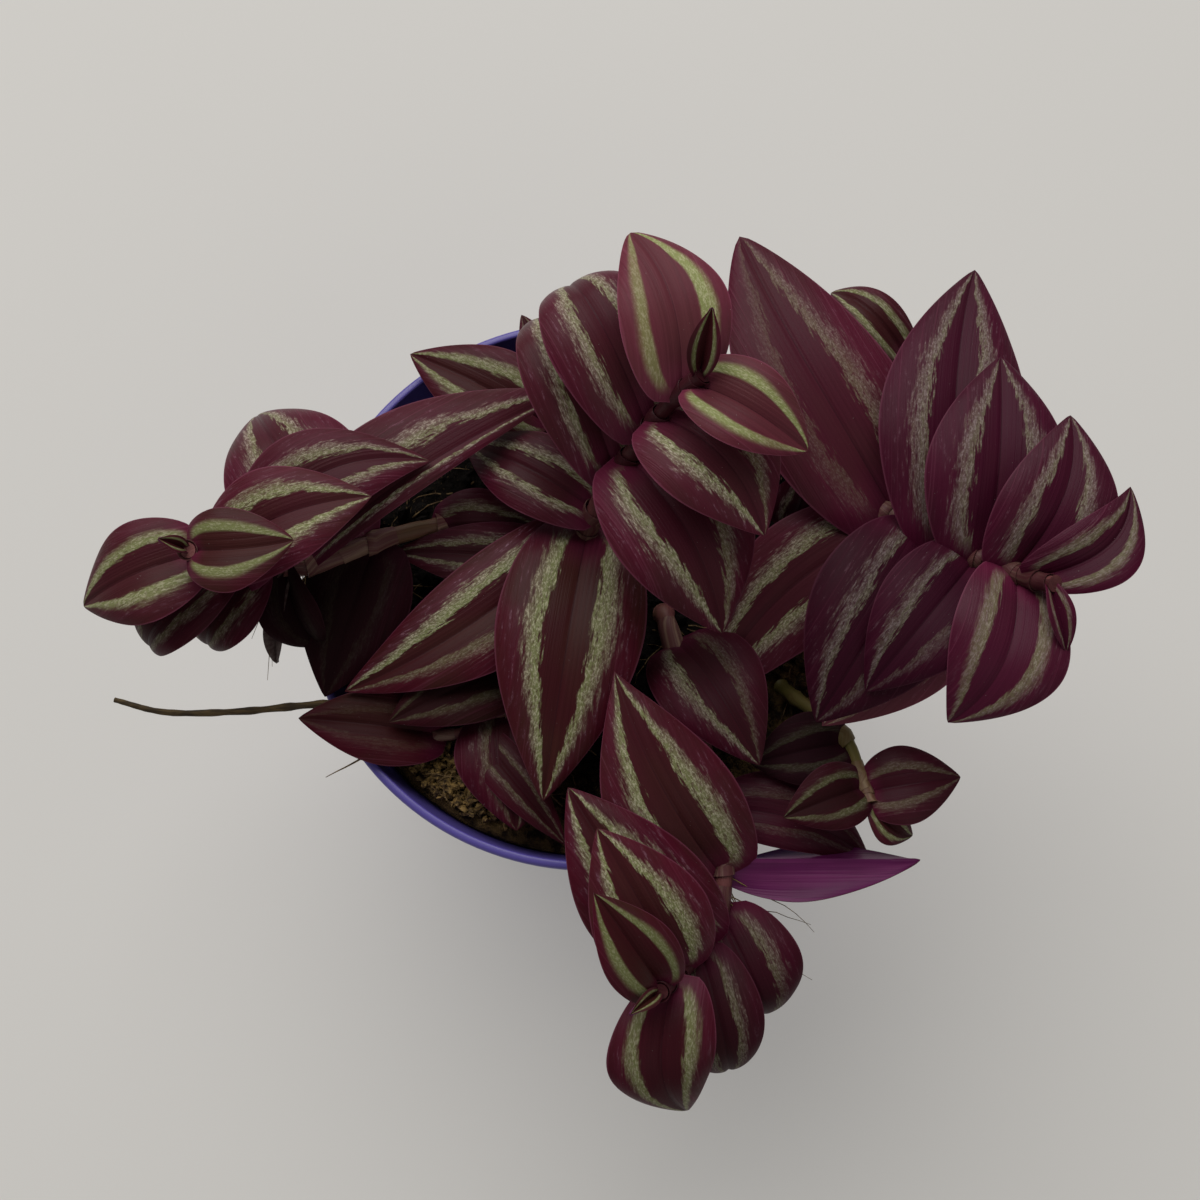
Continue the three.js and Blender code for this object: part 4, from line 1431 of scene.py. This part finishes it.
def add_sheath(points, faces, grains, shoot, one):
    last = len(shoot.nodes) - 1
    below = min(int(one.at), last - 1)
    span = (shoot.nodes[below + 1] - shoot.nodes[below]).length
    reach = SHEATH_LONG * taper_at(one.at / last) * MM / span / last
    tip = in_place(one.tip)
    start = len(points)
    for along, proud in SHEATH_RINGS:
        share = min(max(one.at / last + along * reach, 0.0), 1.0)
        middle = curve_point(shoot.nodes, share)
        heading = curve_heading(shoot.nodes, share)
        towards = tip - middle
        towards = (towards - heading * towards.dot(heading)).normalized()
        beside = heading.cross(towards)
        girth = girth_at(shoot, share) * MM
        for k in range(SHEATH_SIDES):
            turn = 2 * math.pi * k / SHEATH_SIDES
            lean = math.cos(turn)
            swell = 1 + proud + SHEATH_LEAN * max(along + 0.4, 0) * lean
            radius = girth * swell + SHEATH_GAP * MM
            slant = heading * (1 + lean) * SHEATH_SLANT * MM * max(along + 0.5, 0) * taper_at(share)
            points.append(middle + (towards * lean + beside * math.sin(turn)) * radius + slant)
            grains.append((turn * girth / MM, share * SHOOT_LONG, redness_at(shoot.red, share)))
    count = len(SHEATH_RINGS)
    for ring in range(count):
        here = start + ring * SHEATH_SIDES
        ahead = start + (ring + 1) % count * SHEATH_SIDES
        for k in range(SHEATH_SIDES):
            beside = (k + 1) % SHEATH_SIDES
            faces.append((here + k, here + beside, ahead + beside, ahead + k))

for name, leaves in LEAVES.items():
    points, faces, grains = [], [], []
    for one in leaves + INNER_LEAVES.get(name, []):
        add_sheath(points, faces, grains, SHOOTS[name], one)
    sheath = mesh_piece(f"sheath_{name}", points, faces, sheath_skin)
    vector_attribute(sheath.data, "stem_grain", grains)
    settle(sheath, "stem", smooth=60)
print("sheaths on", len(LEAVES), "shoots")

# %% [markdown]
# ## Hair roots
#
# Old nodes put out fine roots into the air. They are threads again, a tuft of them at the underside of
# two shoots where the stem comes near the rim: each tuft has a place on its shoot, counted in nodes, and
# a heading.

# %% Hang the hair roots
ROOTS_IN_TUFT = 7
ROOT_THICK = 0.13
ROOT_TUFTS = {
    "left": (4.3, Vector((-0.15, -1.00, -0.25))),
    "front": (4.6, Vector((0.70, -0.60, -0.40))),
}

points, faces = [], []
for name, (at, heading) in ROOT_TUFTS.items():
    nodes = SHOOTS[name].nodes
    for _ in range(ROOTS_IN_TUFT):
        start = curve_point(nodes, (at + draw.uniform(-0.25, 0.25)) / (len(nodes) - 1))
        stray = Vector((draw.gauss(0, 0.25), draw.gauss(0, 0.25), draw.gauss(0, 0.15)))
        line = wandering(start, heading + stray, draw.uniform(9, 24), steps=8, restless=0.12, fall=0.05)
        thread(points, faces, line, ROOT_THICK)
roots = mesh_piece("hair_roots", points, faces, straw)
settle(roots, "dry", smooth=180)
print("hair roots:", len(roots.data.polygons), "faces")

# %% [markdown]
# ## The floor
#
# The plant stands on a plain pale floor. Very faint patches keep it from looking like a flat card, and a
# little of its own light keeps the shadow of the plant soft and pale.

# %% Lay the floor
FLOOR_SIZE = 6
FLOOR_COLOUR = (0.47, 0.46, 0.44)
FLOOR_GLOW = 0.22

def mix_floor():
    r = Recipe("pale_floor")
    place = r.millimetres()
    patches = r.noise(place, (0.004, 0.004, 0.004), 2.0)
    colour = r.shaded(FLOOR_COLOUR, r.scaled(patches, 0.06, 0.97))
    r.join(FLOOR_COLOUR, r.shader.inputs["Emission Color"])
    r.shader.inputs["Emission Strength"].default_value = FLOOR_GLOW / FLOOR_COLOUR[0]
    return r.finish(colour, 0.8, 0.2)

bpy.ops.object.select_all(action="DESELECT")
bpy.ops.mesh.primitive_plane_add(size=FLOOR_SIZE)
floor = bpy.context.object
floor.name = "floor"
floor.data.materials.append(mix_floor())
print("floor laid")

# %% [markdown]
